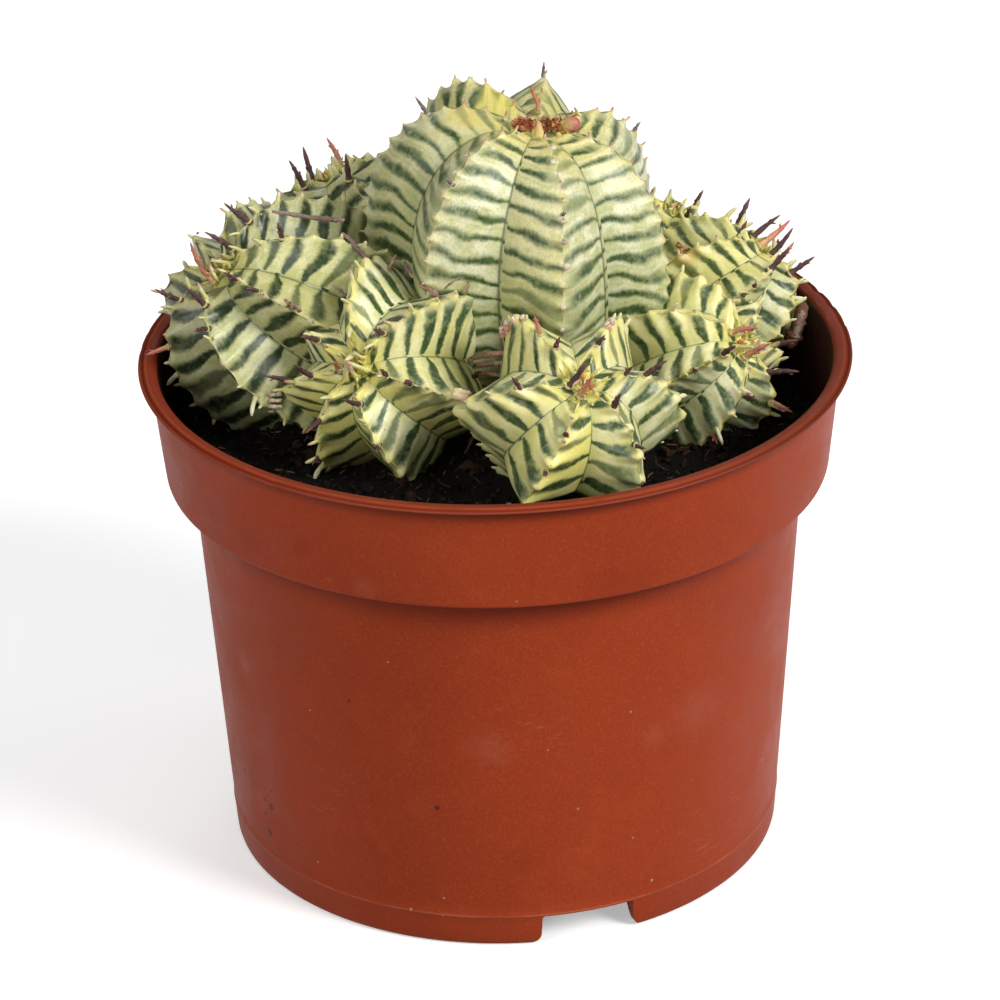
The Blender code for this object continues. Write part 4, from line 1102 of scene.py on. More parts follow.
# the ball of dry petals right of the middle, and the looser clump left of it
crumple(at_crown(2.3, -0.7, -0.1), (1.45, 1.2, 1.20), (0.34, 0.115, 0.042), rough=0.55)
crumple(at_crown(1.3, -0.5, -0.5), (1.1, 1.0, 1.0), (0.26, 0.080, 0.032), rough=0.5)
crumple(at_crown(3.3, -0.8, -0.4), (1.1, 0.9, 0.95), (0.40, 0.150, 0.055), rough=0.5)
crumple(at_crown(0.9, -0.2, 0.3), (0.8, 0.8, 0.8), (0.36, 0.110, 0.045), rough=0.55)
crumple(at_crown(4.25, -0.5, 0.1), (0.95, 0.9, 0.85), (0.66, 0.52, 0.17), rough=0.16)
crumple(at_crown(1.3, 0.4, 0.55), (0.85, 0.85, 0.95), (0.42, 0.46, 0.20), rough=0.12)
for x, y, z, size in ((-3.1, -0.4, -0.1, 0.90), (-0.7, -0.7, 0.1, 0.70), (-2.7, -0.9, -0.3, 0.85), (-1.9, -0.8, -0.5, 0.85), (-1.2, -0.4, -0.2, 0.75),
                      (-3.0, 0.3, 0.5, 0.80), (-2.2, 0.0, 0.5, 0.80), (-1.5, -0.6, 0.4, 0.60), (-3.9, 0.0, -0.6, 0.55),
                      (-2.4, -1.0, -1.0, 0.70)):
    crumple(at_crown(x, y, z), np.array((1.0, 0.85, 0.9)) * size, np.array(BROWNS[int(abs(x * 3)) % 3]) * 1.1,
            rough=0.55, balls=3, pitch=1100.0)
for k in range(104):
    left = k % 5 < 3
    centre = at_crown(-2.3, -0.4, 0.0) if left else at_crown(2.2, -0.5, -0.1)
    spot = unit(rand.normal(size=3) + (0, -0.35, 0.45)) * rand.uniform(0.7, 1.4) * ((1.35, 0.9, 0.85) if left else (1.35, 0.85, 0.90))
    at = centre + spot * MM
    way = unit(spot + rand.normal(0, 0.6, 3))
    length = rand.uniform(0.4, 1.1)
    end = at + way * length * MM
    if (end < low - 0.3 * MM).any() or (end > high + 0.3 * MM).any():
        continue
    petal(bag, at, way, length, rand.uniform(0.14, 0.32), np.array(BROWNS[k % 5]) * rand.uniform(0.8, 1.6), rand)
# thin pink styles hooked over the clumps
for x, y, z, reach_x, rise in ((-1.6, -1.0, 0.6, -1.0, 0.9), (0.6, -0.9, 1.0, 1.3, 0.65), (2.9, -0.8, 0.8, 0.5, 0.5),
                               (-3.4, -0.6, 0.6, -0.5, 0.7), (-2.4, -0.9, 0.7, 0.7, 0.6)):
    steps = np.linspace(0, 1, 8)
    path = [at_crown(x + reach_x * s, y - 0.15 * s, z + rise * math.sin(2.2 * s)) for s in steps]
    path = np.clip(np.array(path), low + 0.1 * MM, high + 0.2 * MM)
    bag.add(*tube(path, 0.18 * MM * np.array((1.1, 1, 1, 0.95, 0.9, 0.9, 1.15, 0.7)), 6), (0.55, 0.20, 0.15))
# the yellow column of the youngest rib, and leaf tips round it
for x, y, z, tall, thick in ((0.0, -1.5, -3.4, 4.3, 0.95), (0.55, -1.1, -2.6, 3.0, 0.62), (-0.75, -1.0, -2.6, 3.3, 0.55),
                             (0.3, -0.2, -1.8, 2.9, 0.55), (1.2, 0.1, -1.8, 2.0, 0.46), (4.1, -0.3, -1.7, 1.5, 0.60),
                             (3.5, -1.0, -1.9, 1.3, 0.45), (-3.6, -0.9, -1.7, 1.2, 0.45), (5.2, -0.2, -1.2, 1.2, 0.45)):
    steps = np.linspace(0, 1, 8)
    path = [at_crown(x + 0.15 * math.sin(3 * s + x), y + 0.5 * s, z + tall * s) for s in steps]
    bag.add(*tube(path, thick * MM * np.array((1.15, 1.15, 1.05, 0.95, 0.85, 0.72, 0.55, 0.22)), 10, 0.85),
            along_tints(((0.66, 0.56, 0.20), (0.76, 0.60, 0.20), (0.74, 0.55, 0.22), (0.62, 0.36, 0.17)), 8, 10), 1)
obj = bag.build("crown_dry_flowers", [DRY, LEAF])
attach(obj, "root")
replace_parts(obj, "crown_flower_remains")

# the young fruit: three lobes, with the dry style on top
bag = Bag()
low, high = (np.array(c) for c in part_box("young_fruit"))
middle, half = (low + high) / 2 - np.array((1.10, 0.1, 0.0)) * MM, (high - low) / 2 * np.array((1.04, 1.04, 1.00))
points = BALLS[3][0].copy()
bearing = np.arctan2(points[:, 1], points[:, 0])
ring = np.sqrt(np.maximum(1 - points[:, 2] ** 2, 0))
points *= (1 - 0.10 * (0.5 - 0.5 * np.cos(3 * bearing)) ** 3 * ring)[:, None] * 0.93
points += 0.02 * noise3(points, 2.2, 4.0)[:, None] * points
blush = np.clip(0.5 + 0.9 * points[:, 0:1] + 0.5 * noise3(points, 1.6, 9.0)[:, None], 0, 1)
tint = np.array((0.600, 0.430, 0.150)) * (1 - blush) + np.array((0.500, 0.120, 0.110)) * blush
stain = np.clip((np.abs(noise3(points, 2.4, 3.0)) - 0.28) * 6, 0, 1)[:, None] * np.clip(0.6 - points[:, 2:3], 0, 1)
tint = tint * (1 - 0.7 * stain)
bag.add(points * half + middle, BALLS[3][1], tint, 0)
for k in range(5):
    petal(bag, middle + np.array((0.35 * math.cos(k * 1.3), 0.35 * math.sin(k * 1.3), 1.0)) * half,
          (math.cos(k * 1.3) * 0.6, math.sin(k * 1.3) * 0.6, 0.4), 0.7, 0.2, (0.30, 0.10, 0.05), rand)
obj = bag.build("young_fruit_pod", [FRUIT])
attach(obj, "root")
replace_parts(obj, "young_fruit")

# the stalk standing in the crown
bag = Bag()
low, high = (np.array(c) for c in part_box("crown_stalk"))
steps = np.linspace(0, 1, 14)
foot_at = np.array(((low[0] + high[0]) / 2 + 0.5 * MM, (low[1] + high[1]) / 2, low[2] - 2.2 * MM))
tip_at = np.array((low[0] + 0.6 * MM, (low[1] + high[1]) / 2, high[2] - 0.4 * MM))
path = [foot_at + (tip_at - foot_at) * s + np.array((0.25 * math.sin(5 * s), 0, 0)) * MM for s in steps]
radii = 0.34 * MM * np.interp(steps, (0, 0.3, 0.55, 0.62, 0.7, 0.9, 1), (1.5, 1.1, 0.85, 1.15, 0.8, 0.65, 0.35))
bag.add(*tube(path, radii, 8), along_tints(((0.55, 0.40, 0.16), (0.62, 0.26, 0.14), (0.60, 0.22, 0.13),
                                            (0.50, 0.16, 0.10)), 14, 8), 0)
for k in range(4):
    at = path[5 + 2 * k]
    petal(bag, at, (math.cos(k * 2.2), math.sin(k * 2.2), 0.8), 0.8, 0.18, (0.55, 0.22, 0.14), rand)
obj = bag.build("crown_flower_stalk", [STALK])
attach(obj, "root")
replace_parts(obj, "crown_stalk")


# ------------------------------------------------------------------ dry bits on and between the stems
bag = Bag()
rand = np.random.default_rng(5)


def twig(points, thick, colours, sides=7, knots=2, look=0):
    """A dry stalk through these points in mm."""
    points = np.array(points, float) * MM
    many = 18
    t = np.linspace(0, 1, len(points))
    at = np.linspace(0, 1, many)
    path = np.column_stack([np.interp(at, t, points[:, i]) for i in range(3)])
    path[1:-1] += rand.normal(0, 0.06 * MM, (many - 2, 3))
    radii = thick * MM * (1 + 0.10 * rand.normal(size=many)) * np.interp(at, (0, 0.15, 0.85, 1), (0.55, 1, 1, 0.5))
    for k in range(knots):
        radii[rand.integers(2, many - 2)] *= 1.35
    bag.add(*tube(path, np.maximum(radii, 0.08 * MM), sides), along_tints(colours, many, sides), look)


GREYS = ((0.42, 0.31, 0.25), (0.30, 0.205, 0.165), (0.21, 0.140, 0.115), (0.36, 0.25, 0.21))
WOODS = ((0.20, 0.085, 0.045), (0.15, 0.065, 0.04), (0.24, 0.11, 0.06), (0.12, 0.055, 0.035))
twig(((-36.6, 6.4, 111.4), (-31.0, 4.4, 111.2), (-26.5, 2.4, 111.4), (-24.5, 1.4, 111.8)), 0.40, GREYS)
twig(((50.2, 11.8, 81.3), (51.3, 12.5, 84.0), (52.3, 13.9, 86.6), (52.7, 15.1, 88.4)), 1.15, WOODS, 9, 3)
twig(((50.9, 11.2, 83.0), (51.8, 12.2, 86.0), (52.6, 13.0, 87.6)), 0.7, GREYS, 8, 2)
# a second fallen stalk, and scraps lying over the left offsets and between the stems
TANS = ((0.46, 0.27, 0.18), (0.36, 0.20, 0.13), (0.50, 0.32, 0.23), (0.30, 0.17, 0.12))
twig(((-25.1, 4.5, 108.0), (-23.7, 3.0, 107.2), (-22.6, 1.9, 106.3), (-19.7, 1.6, 102.9)), 0.38, GREYS)
twig(((-26.8, -3.0, 102.0), (-25.1, -4.6, 101.4), (-23.6, -9.6, 101.8)), 0.26, GREYS)
twig(((-17.6, 1.0, 102.1), (-16.9, 1.2, 103.6), (-16.1, 1.6, 105.1)), 0.30, TANS)
twig(((-14.8, -1.5, 105.1), (-14.5, -2.6, 105.0), (-13.4, -5.1, 103.9)), 0.30, GREYS, 7, 4)
twig(((-12.2, -6.3, 102.9), (-10.5, -7.4, 102.6), (-9.0, -10.7, 102.7)), 0.36, TANS, 7, 4)
twig(((-8.1, -7.6, 103.0), (-6.8, -7.7, 104.1), (-5.4, -7.8, 105.3)), 0.20, TANS)
twig(((-4.9, -8.5, 102.0), (-4.4, -8.3, 102.9), (-3.9, -8.0, 104.0), (-4.3, -8.0, 104.5)), 0.17, TANS)
for x, y, z in ((-34.0, -9.8, 101.3), (-33.1, -10.0, 100.9), (-32.3, -10.1, 100.4)):
    twig(((x, y, z), (x + 0.3, y - 0.6, z + 0.8), (x - 0.4, y - 0.8, z + 1.7)), 0.27, TANS)
# pale, withered leaf fingers on the front left offset's outer tip
for dz in (-1.1, 0.0, 1.1):
    twig(((-35.6, -10.6, 84.6 + dz), (-36.8, -11.0, 84.7 + dz), (-38.0, -11.2, 84.9 + dz)), 0.34,
         ((0.66, 0.60, 0.28), (0.80, 0.74, 0.48), (0.80, 0.66, 0.48), (0.46, 0.28, 0.18)), 7, 0, 1)
# a dried bud between the two front offsets
twig(((-7.0, -24.6, 91.8), (-6.0, -24.8, 91.3), (-4.6, -24.6, 90.7), (-3.2, -24.6, 90.2)), 0.86,
     ((0.80, 0.70, 0.36), (0.76, 0.60, 0.38), (0.56, 0.27, 0.14), (0.26, 0.10, 0.06)), 9, 2, 1)
twig(((-6.8, -24.3, 92.3), (-5.6, -24.6, 92.2), (-4.2, -24.6, 91.7)), 0.42,
     ((0.80, 0.68, 0.36), (0.80, 0.66, 0.46), (0.62, 0.40, 0.24)), 8, 1, 1)
# coral stubs on the front right offset's upper crests
CORALS = ((0.70, 0.42, 0.22), (0.76, 0.36, 0.24), (0.76, 0.44, 0.34), (0.80, 0.66, 0.52))
for x, y, z, tall in ((2.2, -18.9, 99.6, 2.5), (3.4, -20.5, 101.6, 1.7), (4.8, -22.8, 103.3, 1.4), (1.4, -18.0, 98.6, 1.9),
                      (18.6, -25.0, 102.6, 1.6), (19.3, -22.6, 101.6, 2.2)):
    twig(((x, y, z), (x - 0.15, y - 0.1, z + tall * 0.5), (x - 0.3, y - 0.1, z + tall)), 0.50, CORALS, 8, 1, 1)
# brown litter caught between the front offsets and the main stem
for k in range(26):
    x, y, z = rand.uniform(-4.5, 3.2), rand.uniform(-12.5, -5.0), rand.uniform(77.5, 89.0)
    way = unit((rand.normal(), rand.normal(0, 0.6), rand.normal(0, 0.25))) * rand.uniform(1.5, 4.0)
    shade = rand.uniform(0.35, 1.2)
    twig(((x, y, z), (x + way[0], y + way[1] * 0.6, z + way[2])), rand.uniform(0.20, 0.50),
         tuple(tuple(c * shade for c in w) for w in WOODS), 6, 1)
for start, end, thick in (((-4.2, -8.4, 90.4), (2.0, -8.8, 91.4), 0.46), ((-3.2, -8.0, 88.9), (1.5, -8.4, 89.3), 0.40),
                          ((-3.0, -7.8, 87.2), (1.2, -8.6, 87.0), 0.34)):
    twig((start, [(a + b) / 2 + 0.15 for a, b in zip(start, end)], end), thick,
         ((0.30, 0.17, 0.11), (0.22, 0.115, 0.07), (0.34, 0.20, 0.13), (0.18, 0.09, 0.055)), 7, 2)
# the longest leaf tips still on the offsets, like small pale fingers: stem, rib, u, length in mm, droop
for stem_name, rib, u, length, droop in (
        ("offset_front_left", 0, 0.43, 3.4, 0.9), ("offset_front_left", 6, 0.53, 2.6, 0.8), ("offset_front_left", 6, 0.42, 2.6, 1.0),
        ("offset_left", 0, 0.50, 3.2, 0.8), ("offset_left", 7, 0.58, 2.4, 0.5), ("offset_front_left", 1, 0.50, 2.2, 0.6),
        ("offset_right", 1, 0.55, 2.4, 0.9), ("offset_right", 1, 0.80, 2.5, 0.6), ("offset_right", 2, 0.68, 2.8, 0.4),
        ("offset_back_right", 1, 0.70, 2.3, 0.2), ("offset_front_right", 2, 0.55, 2.0, 0.5)):
    root, out, along, sideways = crest_frame(STEMS[stem_name], rib, u)
    steps = np.linspace(0, 1, 9)
    path = [root + (out * (s * length - 0.3) + np.array((0, 0, -1.0)) * (droop * length * 0.45 * s**1.8)
                    + sideways * (0.25 * math.sin(3.1 * s + rib))) * MM for s in steps]
    radii = (0.40 + 0.035 * length) * MM * np.array([1.5, 1.15, 0.98, 0.92, 0.95, 0.98, 0.92, 0.72, 0.34])
    bag.add(*tube(path, radii, 9, 0.8), along_tints((YELLOW, CREAM, (0.86, 0.82, 0.52), (0.88, 0.84, 0.60), (0.70, 0.56, 0.34)), 9, 9), 1)
obj = bag.build("dry_stalks", [DRY, LEAF])
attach(obj, "root")
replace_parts(obj, "fallen_stalk_left", "withered_stub")

bag = Bag()
low, high = (np.array(c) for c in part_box("dried_flower_back_right"))
middle, half = (low + high) / 2, (high - low) / 2
WITHERED = ((0.52, 0.33, 0.15), (0.38, 0.19, 0.085), (0.60, 0.42, 0.22))
for k in range(36):
    spot = unit(rand.normal(size=3)) * rand.uniform(0.1, 0.7)
    petal(bag, middle + spot * half * 1.25 + np.array((0.35, 0, 0.3)) * MM, unit(spot + (0, -0.1, 0.3)),
          rand.uniform(0.5, 1.1), rand.uniform(0.25, 0.5), np.array(WITHERED[k % 3]) * rand.uniform(0.8, 1.25), rand)
obj = bag.build("dry_flower_scrap", [DRY])
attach(obj, "root")
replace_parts(obj, "dried_flower_back_right")


# ------------------------------------------------------------------ potting mix
def soil_height(x, y):
    """Height of the mix at x, y in metres."""
    r = math.hypot(x, y)
    base = 74.0 - 1.3 * (r / 0.055) ** 2
    p = Vector((x, y, 0.0))
    rough = 0.9 * noise.noise(p * 95.0 + Vector((3, 1, 7))) + 0.55 * noise.noise(p * 260.0 + Vector((9, 4, 2)))
    rough += 0.32 * noise.noise(p * 620.0 + Vector((1, 8, 5))) + 0.16 * noise.noise(p * 1500.0)
    return (base + rough) * MM


bag = Bag()
rings, spokes = 84, 190
outer = 54.0 * MM
points, faces = [(0.0, 0.0, soil_height(0, 0))], []
for i in range(1, rings + 1):
    r = outer * (i / rings) ** 0.85
    for j in range(spokes):
        a = 2 * math.pi * (j + 0.5 * (i % 2)) / spokes
        x, y = r * math.cos(a), r * math.sin(a)
        points.append((x, y, soil_height(x, y) if i < rings else 70.6 * MM))
for j in range(spokes):
    faces.append((0, 1 + j, 1 + (j + 1) % spokes))
for i in range(rings - 1):
    for j in range(spokes):
        a, b = 1 + i * spokes + j, 1 + i * spokes + (j + 1) % spokes
        c, d = a + spokes, b + spokes
        faces.append((a, c, d, b))
points.append((0.0, 0.0, 70.0 * MM))
for j in range(spokes):
    faces.append((len(points) - 1, 1 + (rings - 1) * spokes + (j + 1) % spokes, 1 + (rings - 1) * spokes + j))
bag.add(points, faces, (0.0072, 0.0048, 0.0038))
SOILS = ((0.007, 0.005, 0.004), (0.012, 0.008, 0.006), (0.005, 0.004, 0.0035), (0.030, 0.015, 0.009),
         (0.058, 0.027, 0.013))


def under_stem(x, y):
    for stem in STEMS.values():
        for height in (0.05, 0.25, 0.45):
            c = stem_centre(stem, height * stem["length"] * MM)
            if c[2] < 0.082 and math.hypot(x - c[0], y - c[1]) < 0.50 * stem["radius"] * MM:
                return True
    return False


rand = np.random.default_rng(19)
placed = 0
while placed < 3900:
    r, a = outer * math.sqrt(rand.uniform(0.0, 0.985)), rand.uniform(0, 2 * math.pi)
    x, y = r * math.cos(a), r * math.sin(a)
    if under_stem(x, y):
        continue
    placed += 1
    large = placed < 230
    size = rand.uniform(0.55, 1.20) if large else rand.uniform(0.14, 0.50)
    ball_points, ball_faces = BALLS[2] if large else BALLS[1]
    shape = ball_points * (1 + (0.30 if large else 0.22) * rand.normal(size=(len(ball_points), 1)))
    shape = shape * (size * rand.uniform(0.7, 1.2, 3)) * MM
    at = np.array((x, y, soil_height(x, y) + size * 0.35 * MM))
    tint = np.array(SOILS[int(rand.integers(0, 5))]) * rand.uniform(0.6, 1.5)
    if rand.uniform() < 0.015:
        tint, shape = np.array((0.62, 0.60, 0.56)), shape * 0.42
    bag.add(shape @ spin(rand).T + at, ball_faces, tint)
for k in range(760):
    r, a = outer * math.sqrt(rand.uniform(0.0, 0.96)), rand.uniform(0, 2 * math.pi)
    x, y = r * math.cos(a), r * math.sin(a)
    if under_stem(x, y):
        continue
    way = unit((rand.normal(), rand.normal(), rand.normal(0, 0.30)))
    bend = unit(rand.normal(size=3)) * rand.uniform(0.1, 0.5)
    length = rand.uniform(0.6, 2.4) if k % 9 else rand.uniform(2.4, 5.0)
    steps = np.linspace(-0.5, 0.5, 7)
    centre = np.array((x, y, soil_height(x, y) + rand.uniform(0.2, 0.9) * MM))
    path = np.array([centre + (way * s + bend * (0.25 - s * s)) * length * MM for s in steps])
    over = np.hypot(path[:, 0], path[:, 1]) / (outer - 0.3 * MM)
    path[:, :2] /= np.maximum(over, 1.0)[:, None]
    thick = (rand.uniform(0.05, 0.11) if k % 8 else rand.uniform(0.11, 0.19)) * MM
    tint = np.array(((0.120, 0.055, 0.026), (0.060, 0.030, 0.017), (0.30, 0.185, 0.105))[k % 3]) * rand.uniform(0.4, 1.2)
    bag.add(*tube(path, thick * np.array((0.5, 0.9, 1, 1, 1, 0.8, 0.4)), 4), tint)
# litter and old stalks caught between the stems
for start, end, sag, thick in (
        ((-2.5, -10.0, 79.5), (7.0, -9.0, 80.5), 0.6, 0.40), ((-1.5, -9.4, 81.6), (6.0, -10.6, 81.2), 0.5, 0.26),
        ((-4.0, -11.0, 78.6), (5.5, -7.6, 78.4), 0.4, 0.34), ((0.5, -12.5, 77.2), (4.4, -6.0, 83.0), 0.3, 0.24),
        ((-5.5, -16.0, 76.5), (-2.0, -11.0, 81.5), 0.4, 0.20), ((3.0, -21.0, 75.2), (1.5, -12.0, 77.5), 0.4, 0.26)):
    start, end = np.array(start) * MM, np.array(end) * MM
    steps = np.linspace(0, 1, 9)
    path = [start + (end - start) * s - np.array((0, 0, sag * 4 * s * (1 - s))) * MM
            + rand.normal(0, 0.08, 3) * MM for s in steps]
    bag.add(*tube(path, thick * MM * np.array((0.6, 0.9, 1.1, 1, 0.9, 1.15, 1, 0.8, 0.5)), 6),
            np.array((0.17, 0.085, 0.048)) * rand.uniform(0.7, 1.3))
obj = bag.build("potting_mix_surface", [SOIL], smooth=True, sharp=38)
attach(obj, "root")
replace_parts(obj, "potting_mix")


# ------------------------------------------------------------------ the pot
POT_HEIGHT, LIP_RADIUS, WALL = 88.0, 60.0, 1.3
COLLAR_TOP, COLLAR_FOOT, COLLAR_Z = 58.1, 56.2, 68.6
BODY_TOP, FOOT = 51.8, 47.1


def body_radius(z):
    return FOOT + (BODY_TOP - FOOT) * z / COLLAR_Z


def pot_section():
    """The turned section in mm: floor, inside, lip, outside, foot, underside."""
    line = [(0.0, 7.0), (20.0, 7.0), (38.0, 7.0), (body_radius(7) - WALL - 0.9, 7.0),
            (body_radius(7) - WALL - 0.2, 7.3), (body_radius(8) - WALL, 8.0)]
    line += [(body_radius(z) - WALL, z) for z in (20.0, 35.0, 50.0, 62.0, 68.4)]
    line += [(body_radius(COLLAR_Z) - WALL + 0.15, 69.0), (COLLAR_FOOT - WALL - 0.25, 69.8),
             (COLLAR_FOOT - WALL, 70.1)]
    line += [(COLLAR_FOOT - WALL + (56.7 - COLLAR_FOOT + WALL) * (z - 70.1) / 16.7, z)
             for z in (74.0, 78.0, 82.0, 85.0, 86.6)]
    line += [(56.78, 87.20), (56.92, 87.58), (57.15, 87.86), (57.50, 88.04), (57.90, 88.12), (58.60, 88.10),
             (58.90, 88.04), (59.08, 87.90), (59.20, 87.72), (59.34, 87.66), (59.50, 87.76), (59.66, 87.86),
             (59.82, 87.82), (59.93, 87.72), (59.97, 87.62), (59.93, 87.52), (59.80, 87.45), (59.50, 87.41),
             (58.50, 87.34), (58.20, 87.22), (58.10, 86.9)]
    line += [(COLLAR_TOP - (COLLAR_TOP - COLLAR_FOOT) * (86.9 - z) / (86.9 - 69.0), z)
             for z in (85.0, 82.0, 79.0, 76.0, 73.0, 70.6, 69.4)]
    line += [(56.20, 69.05), (56.12, 68.78), (55.95, 68.64), (55.7, 68.6), (52.35, 68.52), (52.05, 68.44),
             (51.86, 68.2)]
    line += [(body_radius(z), z) for z in (66.0, 60.0, 52.0, 44.0, 36.0, 28.0, 20.0, 13.0, 8.0, 6.1)]
    line += [(body_radius(5.8) + 0.10, 5.82), (body_radius(5.6) + 0.13, 5.62), (body_radius(5.4) + 0.06, 5.4),
             (body_radius(4) + 0.05, 4.0), (body_radius(2) + 0.05, 2.0), (body_radius(0.6) + 0.03, 0.7),
             (body_radius(0) - 0.06, 0.22), (body_radius(0) - 0.24, 0.05), (body_radius(0) - 0.45, 0.0),
             (body_radius(0) - WALL + 0.15, 0.0), (body_radius(0) - WALL, 0.12), (body_radius(3) - WALL, 3.0),
             (body_radius(5) - WALL, 5.0), (body_radius(5) - WALL - 0.5, 5.6), (38.0, 5.6), (20.0, 5.6),
             (0.0, 5.6)]
    return line


def build_pot():
    spokes = 240
    section = pot_section()
    bm = bmesh.new()
    rings = []
    for r, z in section:
        if r == 0:
            rings.append([bm.verts.new((0, 0, z * MM))])
            continue
        ring = []
        for j in range(spokes):
            a = 2 * math.pi * j / spokes
            # a moulded pot is never quite round, and its edge has small nicks
            rr = r + 0.07 * math.sin(2 * a + 0.6) * (z / 88.0) - 0.07 * (z / 88.0)
            zz = z
            if z > 86.9 and r > 57.2:
                for at, wide, deep in ((8.0, 0.9, 0.45), (15.0, 0.6, 0.32), (21.0, 0.8, 0.38), (176.0, 0.9, 0.40),
                                       (169.0, 0.6, 0.25), (-62.0, 0.5, 0.16), (95.0, 1.0, 0.3), (232.0, 0.6, 0.2)):
                    gap = (math.degrees(a) - at + 180) % 360 - 180
                    zz -= deep * math.exp(-((gap / wide) ** 2)) * (1 if r > 58.6 else 0.5)
                zz -= 0.05 * (1 + math.sin(3 * a + 1.0))
            ring.append(bm.verts.new((rr * math.cos(a) * MM, rr * math.sin(a) * MM, zz * MM)))
        rings.append(ring)
    for low, high in zip(rings, rings[1:]):
        if len(low) == 1:
            for j in range(spokes):
                bm.faces.new((low[0], high[j], high[(j + 1) % spokes]))
        elif len(high) == 1:
            for j in range(spokes):
                bm.faces.new((low[j], high[0], low[(j + 1) % spokes]))
        else:
            for j in range(spokes):
                bm.faces.new((low[j], high[j], high[(j + 1) % spokes], low[(j + 1) % spokes]))
    bmesh.ops.recalc_face_normals(bm, faces=bm.faces)
    mesh = bpy.data.meshes.new("pot_shell")
    bm.to_mesh(mesh)
    bm.free()
    obj = bpy.data.objects.new("pot_shell", mesh)
    bpy.context.scene.collection.objects.link(obj)

    cutters = []

    def cutter(name, bm_cut):
        m = bpy.data.meshes.new(name)
        bmesh.ops.recalc_face_normals(bm_cut, faces=bm_cut.faces)
        bm_cut.to_mesh(m)
        bm_cut.free()
        c = bpy.data.objects.new(name, m)
        bpy.context.scene.collection.objects.link(c)
        boolean = obj.modifiers.new(name, "BOOLEAN")
        boolean.operation, boolean.solver, boolean.object = "DIFFERENCE", "EXACT", c
        cutters.append(c)

    for i in range(3):
        # its mouth flares at the foot, its upper corners are nearly square, and its sides splay outwards
        outline = []
        for side, wide, flare in ((1, 7.3, 1.2), (-1, 9.4, 1.8)):
            half = [(wide - 0.5 * (1 - math.cos(t)), 5.3 - 0.5 * (1 - math.sin(t)))
                    for t in np.linspace(math.pi / 2, 0, 5)]
            half += [(wide, 3.2)] + [(wide + flare * (1 - math.cos(t)), flare - flare * math.sin(t))
                                     for t in np.linspace(0, math.pi / 2, 7)] + [(wide + flare, -1.0)]
            outline += half if side > 0 else [(-y, z) for y, z in half[::-1]]
        angle = math.radians(-72 + 120 * i)
        bm_cut = bmesh.new()
        sheets = []
        for x, splay in ((40.0, 1.0), (45.4, 1.0), (47.6, 0.0), (52.0, 0.0)):
            sheet = []
            for y, z in outline:
                y -= math.copysign((1.7 if y > 0 else 0.6) * splay * min(max(z / 5.3, 0.0), 1.0), y)
                sheet.append(bm_cut.verts.new(((x * math.cos(angle) - y * math.sin(angle)) * MM,
                                               (x * math.sin(angle) + y * math.cos(angle)) * MM, z * MM)))
            sheets.append(sheet)
        bm_cut.faces.new(sheets[0])
        bm_cut.faces.new(sheets[-1][::-1])
        for near_sheet, far_sheet in zip(sheets, sheets[1:]):
            for k in range(len(outline)):
                j = (k + 1) % len(outline)
                bm_cut.faces.new((near_sheet[k], near_sheet[j], far_sheet[j], far_sheet[k]))
        cutter(f"notch_{i}", bm_cut)
    holes = [((0.0, 0.0), 5.0)] + [((33 * math.cos(math.radians(18 + 60 * i)), 33 * math.sin(math.radians(18 + 60 * i))), 4.5)
                                   for i in range(6)]
    for i, (at, radius) in enumerate(holes):
        bm_cut = bmesh.new()
        bmesh.ops.create_cone(bm_cut, cap_ends=True, segments=32, radius1=radius * MM, radius2=radius * MM,
                              depth=4 * MM)
        bmesh.ops.translate(bm_cut, vec=(at[0] * MM, at[1] * MM, 6.3 * MM), verts=bm_cut.verts)
        cutter(f"hole_{i}", bm_cut)
    graph = bpy.context.evaluated_depsgraph_get()
    graph.update()
    finished = bpy.data.meshes.new_from_object(obj.evaluated_get(graph))
    obj.modifiers.clear()
    obj.data = finished
    for c in cutters:
        bpy.data.objects.remove(c, do_unlink=True)
    finished.materials.clear()
    finished.materials.append(POT)
    finished.shade_smooth()
    finished.set_sharp_from_angle(angle=math.radians(42))

    co = np.zeros(len(finished.vertices) * 3, np.float32)
    finished.vertices.foreach_get("co", co)
    co = co.reshape(-1, 3) / MM
    r = np.hypot(co[:, 0], co[:, 1])
    # the inner wall's mask for painted shade, fading in just below the rim
    collar_r = COLLAR_FOOT - 0.65 + (COLLAR_TOP - COLLAR_FOOT) * (co[:, 2] - 69.0) / 17.9
    wall_r = np.where(co[:, 2] > 69.3, collar_r, body_radius(co[:, 2]) - 0.6)
    inside = np.where((r < wall_r) & (co[:, 2] > 5.0), 1.0, 0.0)
    inside *= np.clip((87.60 - co[:, 2]) / 0.45, 0, 1) * 0.97
    finished.attributes.new("inside", "FLOAT", "POINT").data.foreach_set("value", inside.astype(np.float32))
    return obj, finished, co


pot, pot_mesh, pot_co = build_pot()
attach(pot, "root")
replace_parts(pot, "pot")


# ------------------------------------------------------------------ floor, light, camera
floor_bm = bmesh.new()
bmesh.ops.create_grid(floor_bm, x_segments=2, y_segments=2, size=3.0)
floor_mesh = bpy.data.meshes.new("floor")
floor_bm.to_mesh(floor_mesh)
floor_bm.free()
floor = bpy.data.objects.new("floor", floor_mesh)
floor.location = (0, 0, -0.0002)
floor_mesh.materials.append(floor_material())
bpy.context.scene.collection.objects.link(floor)
floor.visible_diffuse = False

world = bpy.data.worlds.new("studio")
bpy.context.scene.world = world
world.use_nodes = True
world.node_tree.nodes["Background"].inputs["Color"].default_value = (1.0, 1.0, 1.0, 1.0)
world.node_tree.nodes["Background"].inputs["Strength"].default_value = 0.13


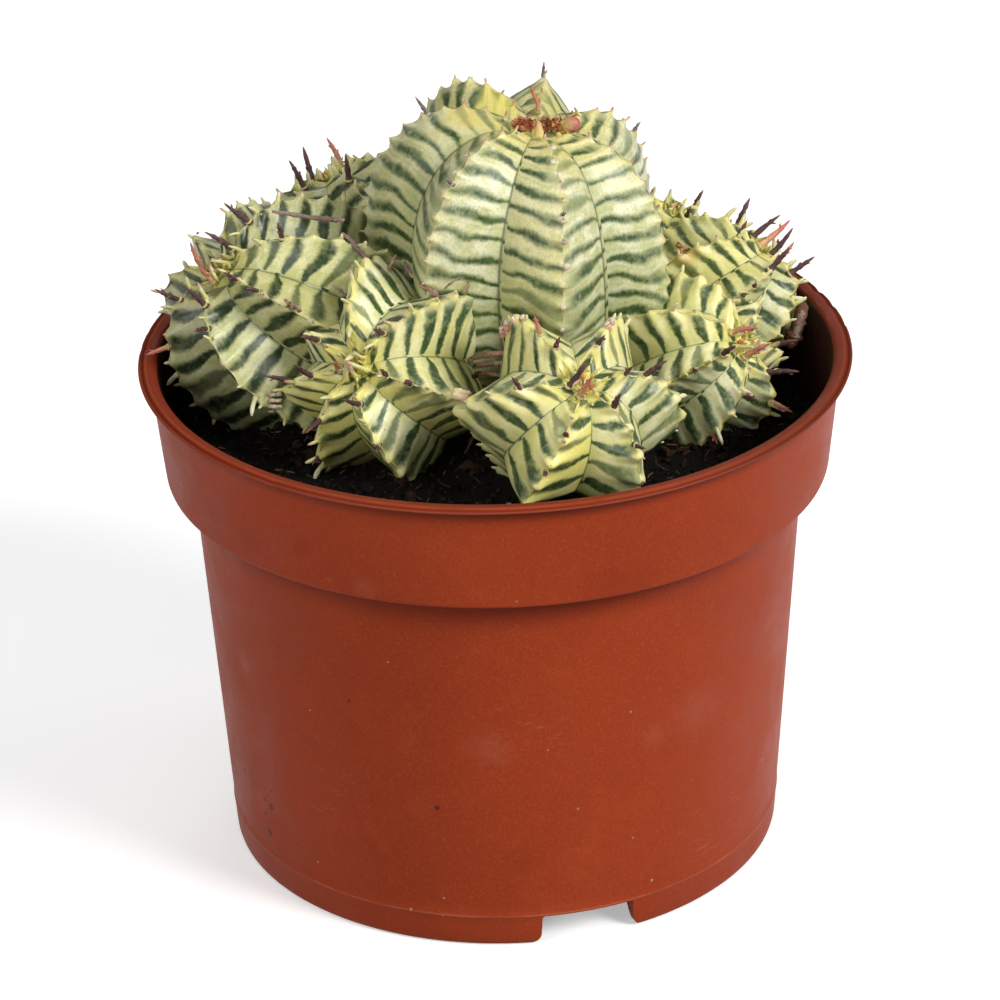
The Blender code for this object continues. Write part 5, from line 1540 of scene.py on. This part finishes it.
def softbox(name, azimuth, elevation, distance, size, power, colour=(1, 1, 1)):
    """A round soft light aimed at the plant. Azimuth 0 is the camera's side, positive to its right."""
    azimuth, elevation = math.radians(azimuth), math.radians(elevation)
    aim = Vector((0.0, 0.0, 0.07))
    at = aim + distance * Vector((math.sin(azimuth) * math.cos(elevation), -math.cos(azimuth) * math.cos(elevation),
                                  math.sin(elevation)))
    data = bpy.data.lights.new(name, "AREA")
    data.shape = "DISK"
    data.size = size
    data.energy = power
    data.color = colour
    obj = bpy.data.objects.new(name, data)
    obj.location = at
    obj.rotation_euler = (aim - at).to_track_quat("-Z", "Y").to_euler()
    bpy.context.scene.collection.objects.link(obj)


softbox("key", 56, 33, 1.15, 0.50, 11.6, (1.0, 0.99, 0.97))
softbox("fill", -48, 34, 1.15, 0.60, 4.1, (0.99, 0.99, 1.0))
softbox("front", -14, 12, 1.30, 0.50, 3.3)
softbox("side", 105, 24, 1.20, 0.50, 1.5)
softbox("back", 172, 34, 1.30, 0.70, 1.8)
softbox("top", -140, 74, 1.15, 0.70, 2.2)

D, ELEVATION, ROLL = 0.85, math.radians(26.982), math.radians(-1.3848)
TARGET = Vector((0.00023, 0.0, 0.05958))
ahead = Vector((0.0, math.cos(ELEVATION), -math.sin(ELEVATION)))
right = Vector((1.0, 0.0, 0.0))
up = right.cross(ahead)
right_r = math.cos(ROLL) * right + math.sin(ROLL) * up
up_r = -math.sin(ROLL) * right + math.cos(ROLL) * up
camera_data = bpy.data.cameras.new("camera")
camera_data.lens = 179.4
camera_data.sensor_width = 36.0
camera_data.clip_start = 0.05
camera = bpy.data.objects.new("camera", camera_data)
place = TARGET - ahead * D
camera.matrix_world = Matrix(((right_r.x, up_r.x, -ahead.x, place.x), (right_r.y, up_r.y, -ahead.y, place.y),
                              (right_r.z, up_r.z, -ahead.z, place.z), (0, 0, 0, 1)))
bpy.context.scene.collection.objects.link(camera)
bpy.context.scene.camera = camera
bpy.context.scene.view_settings.view_transform = "Standard"
bpy.context.scene.view_settings.look = "None"
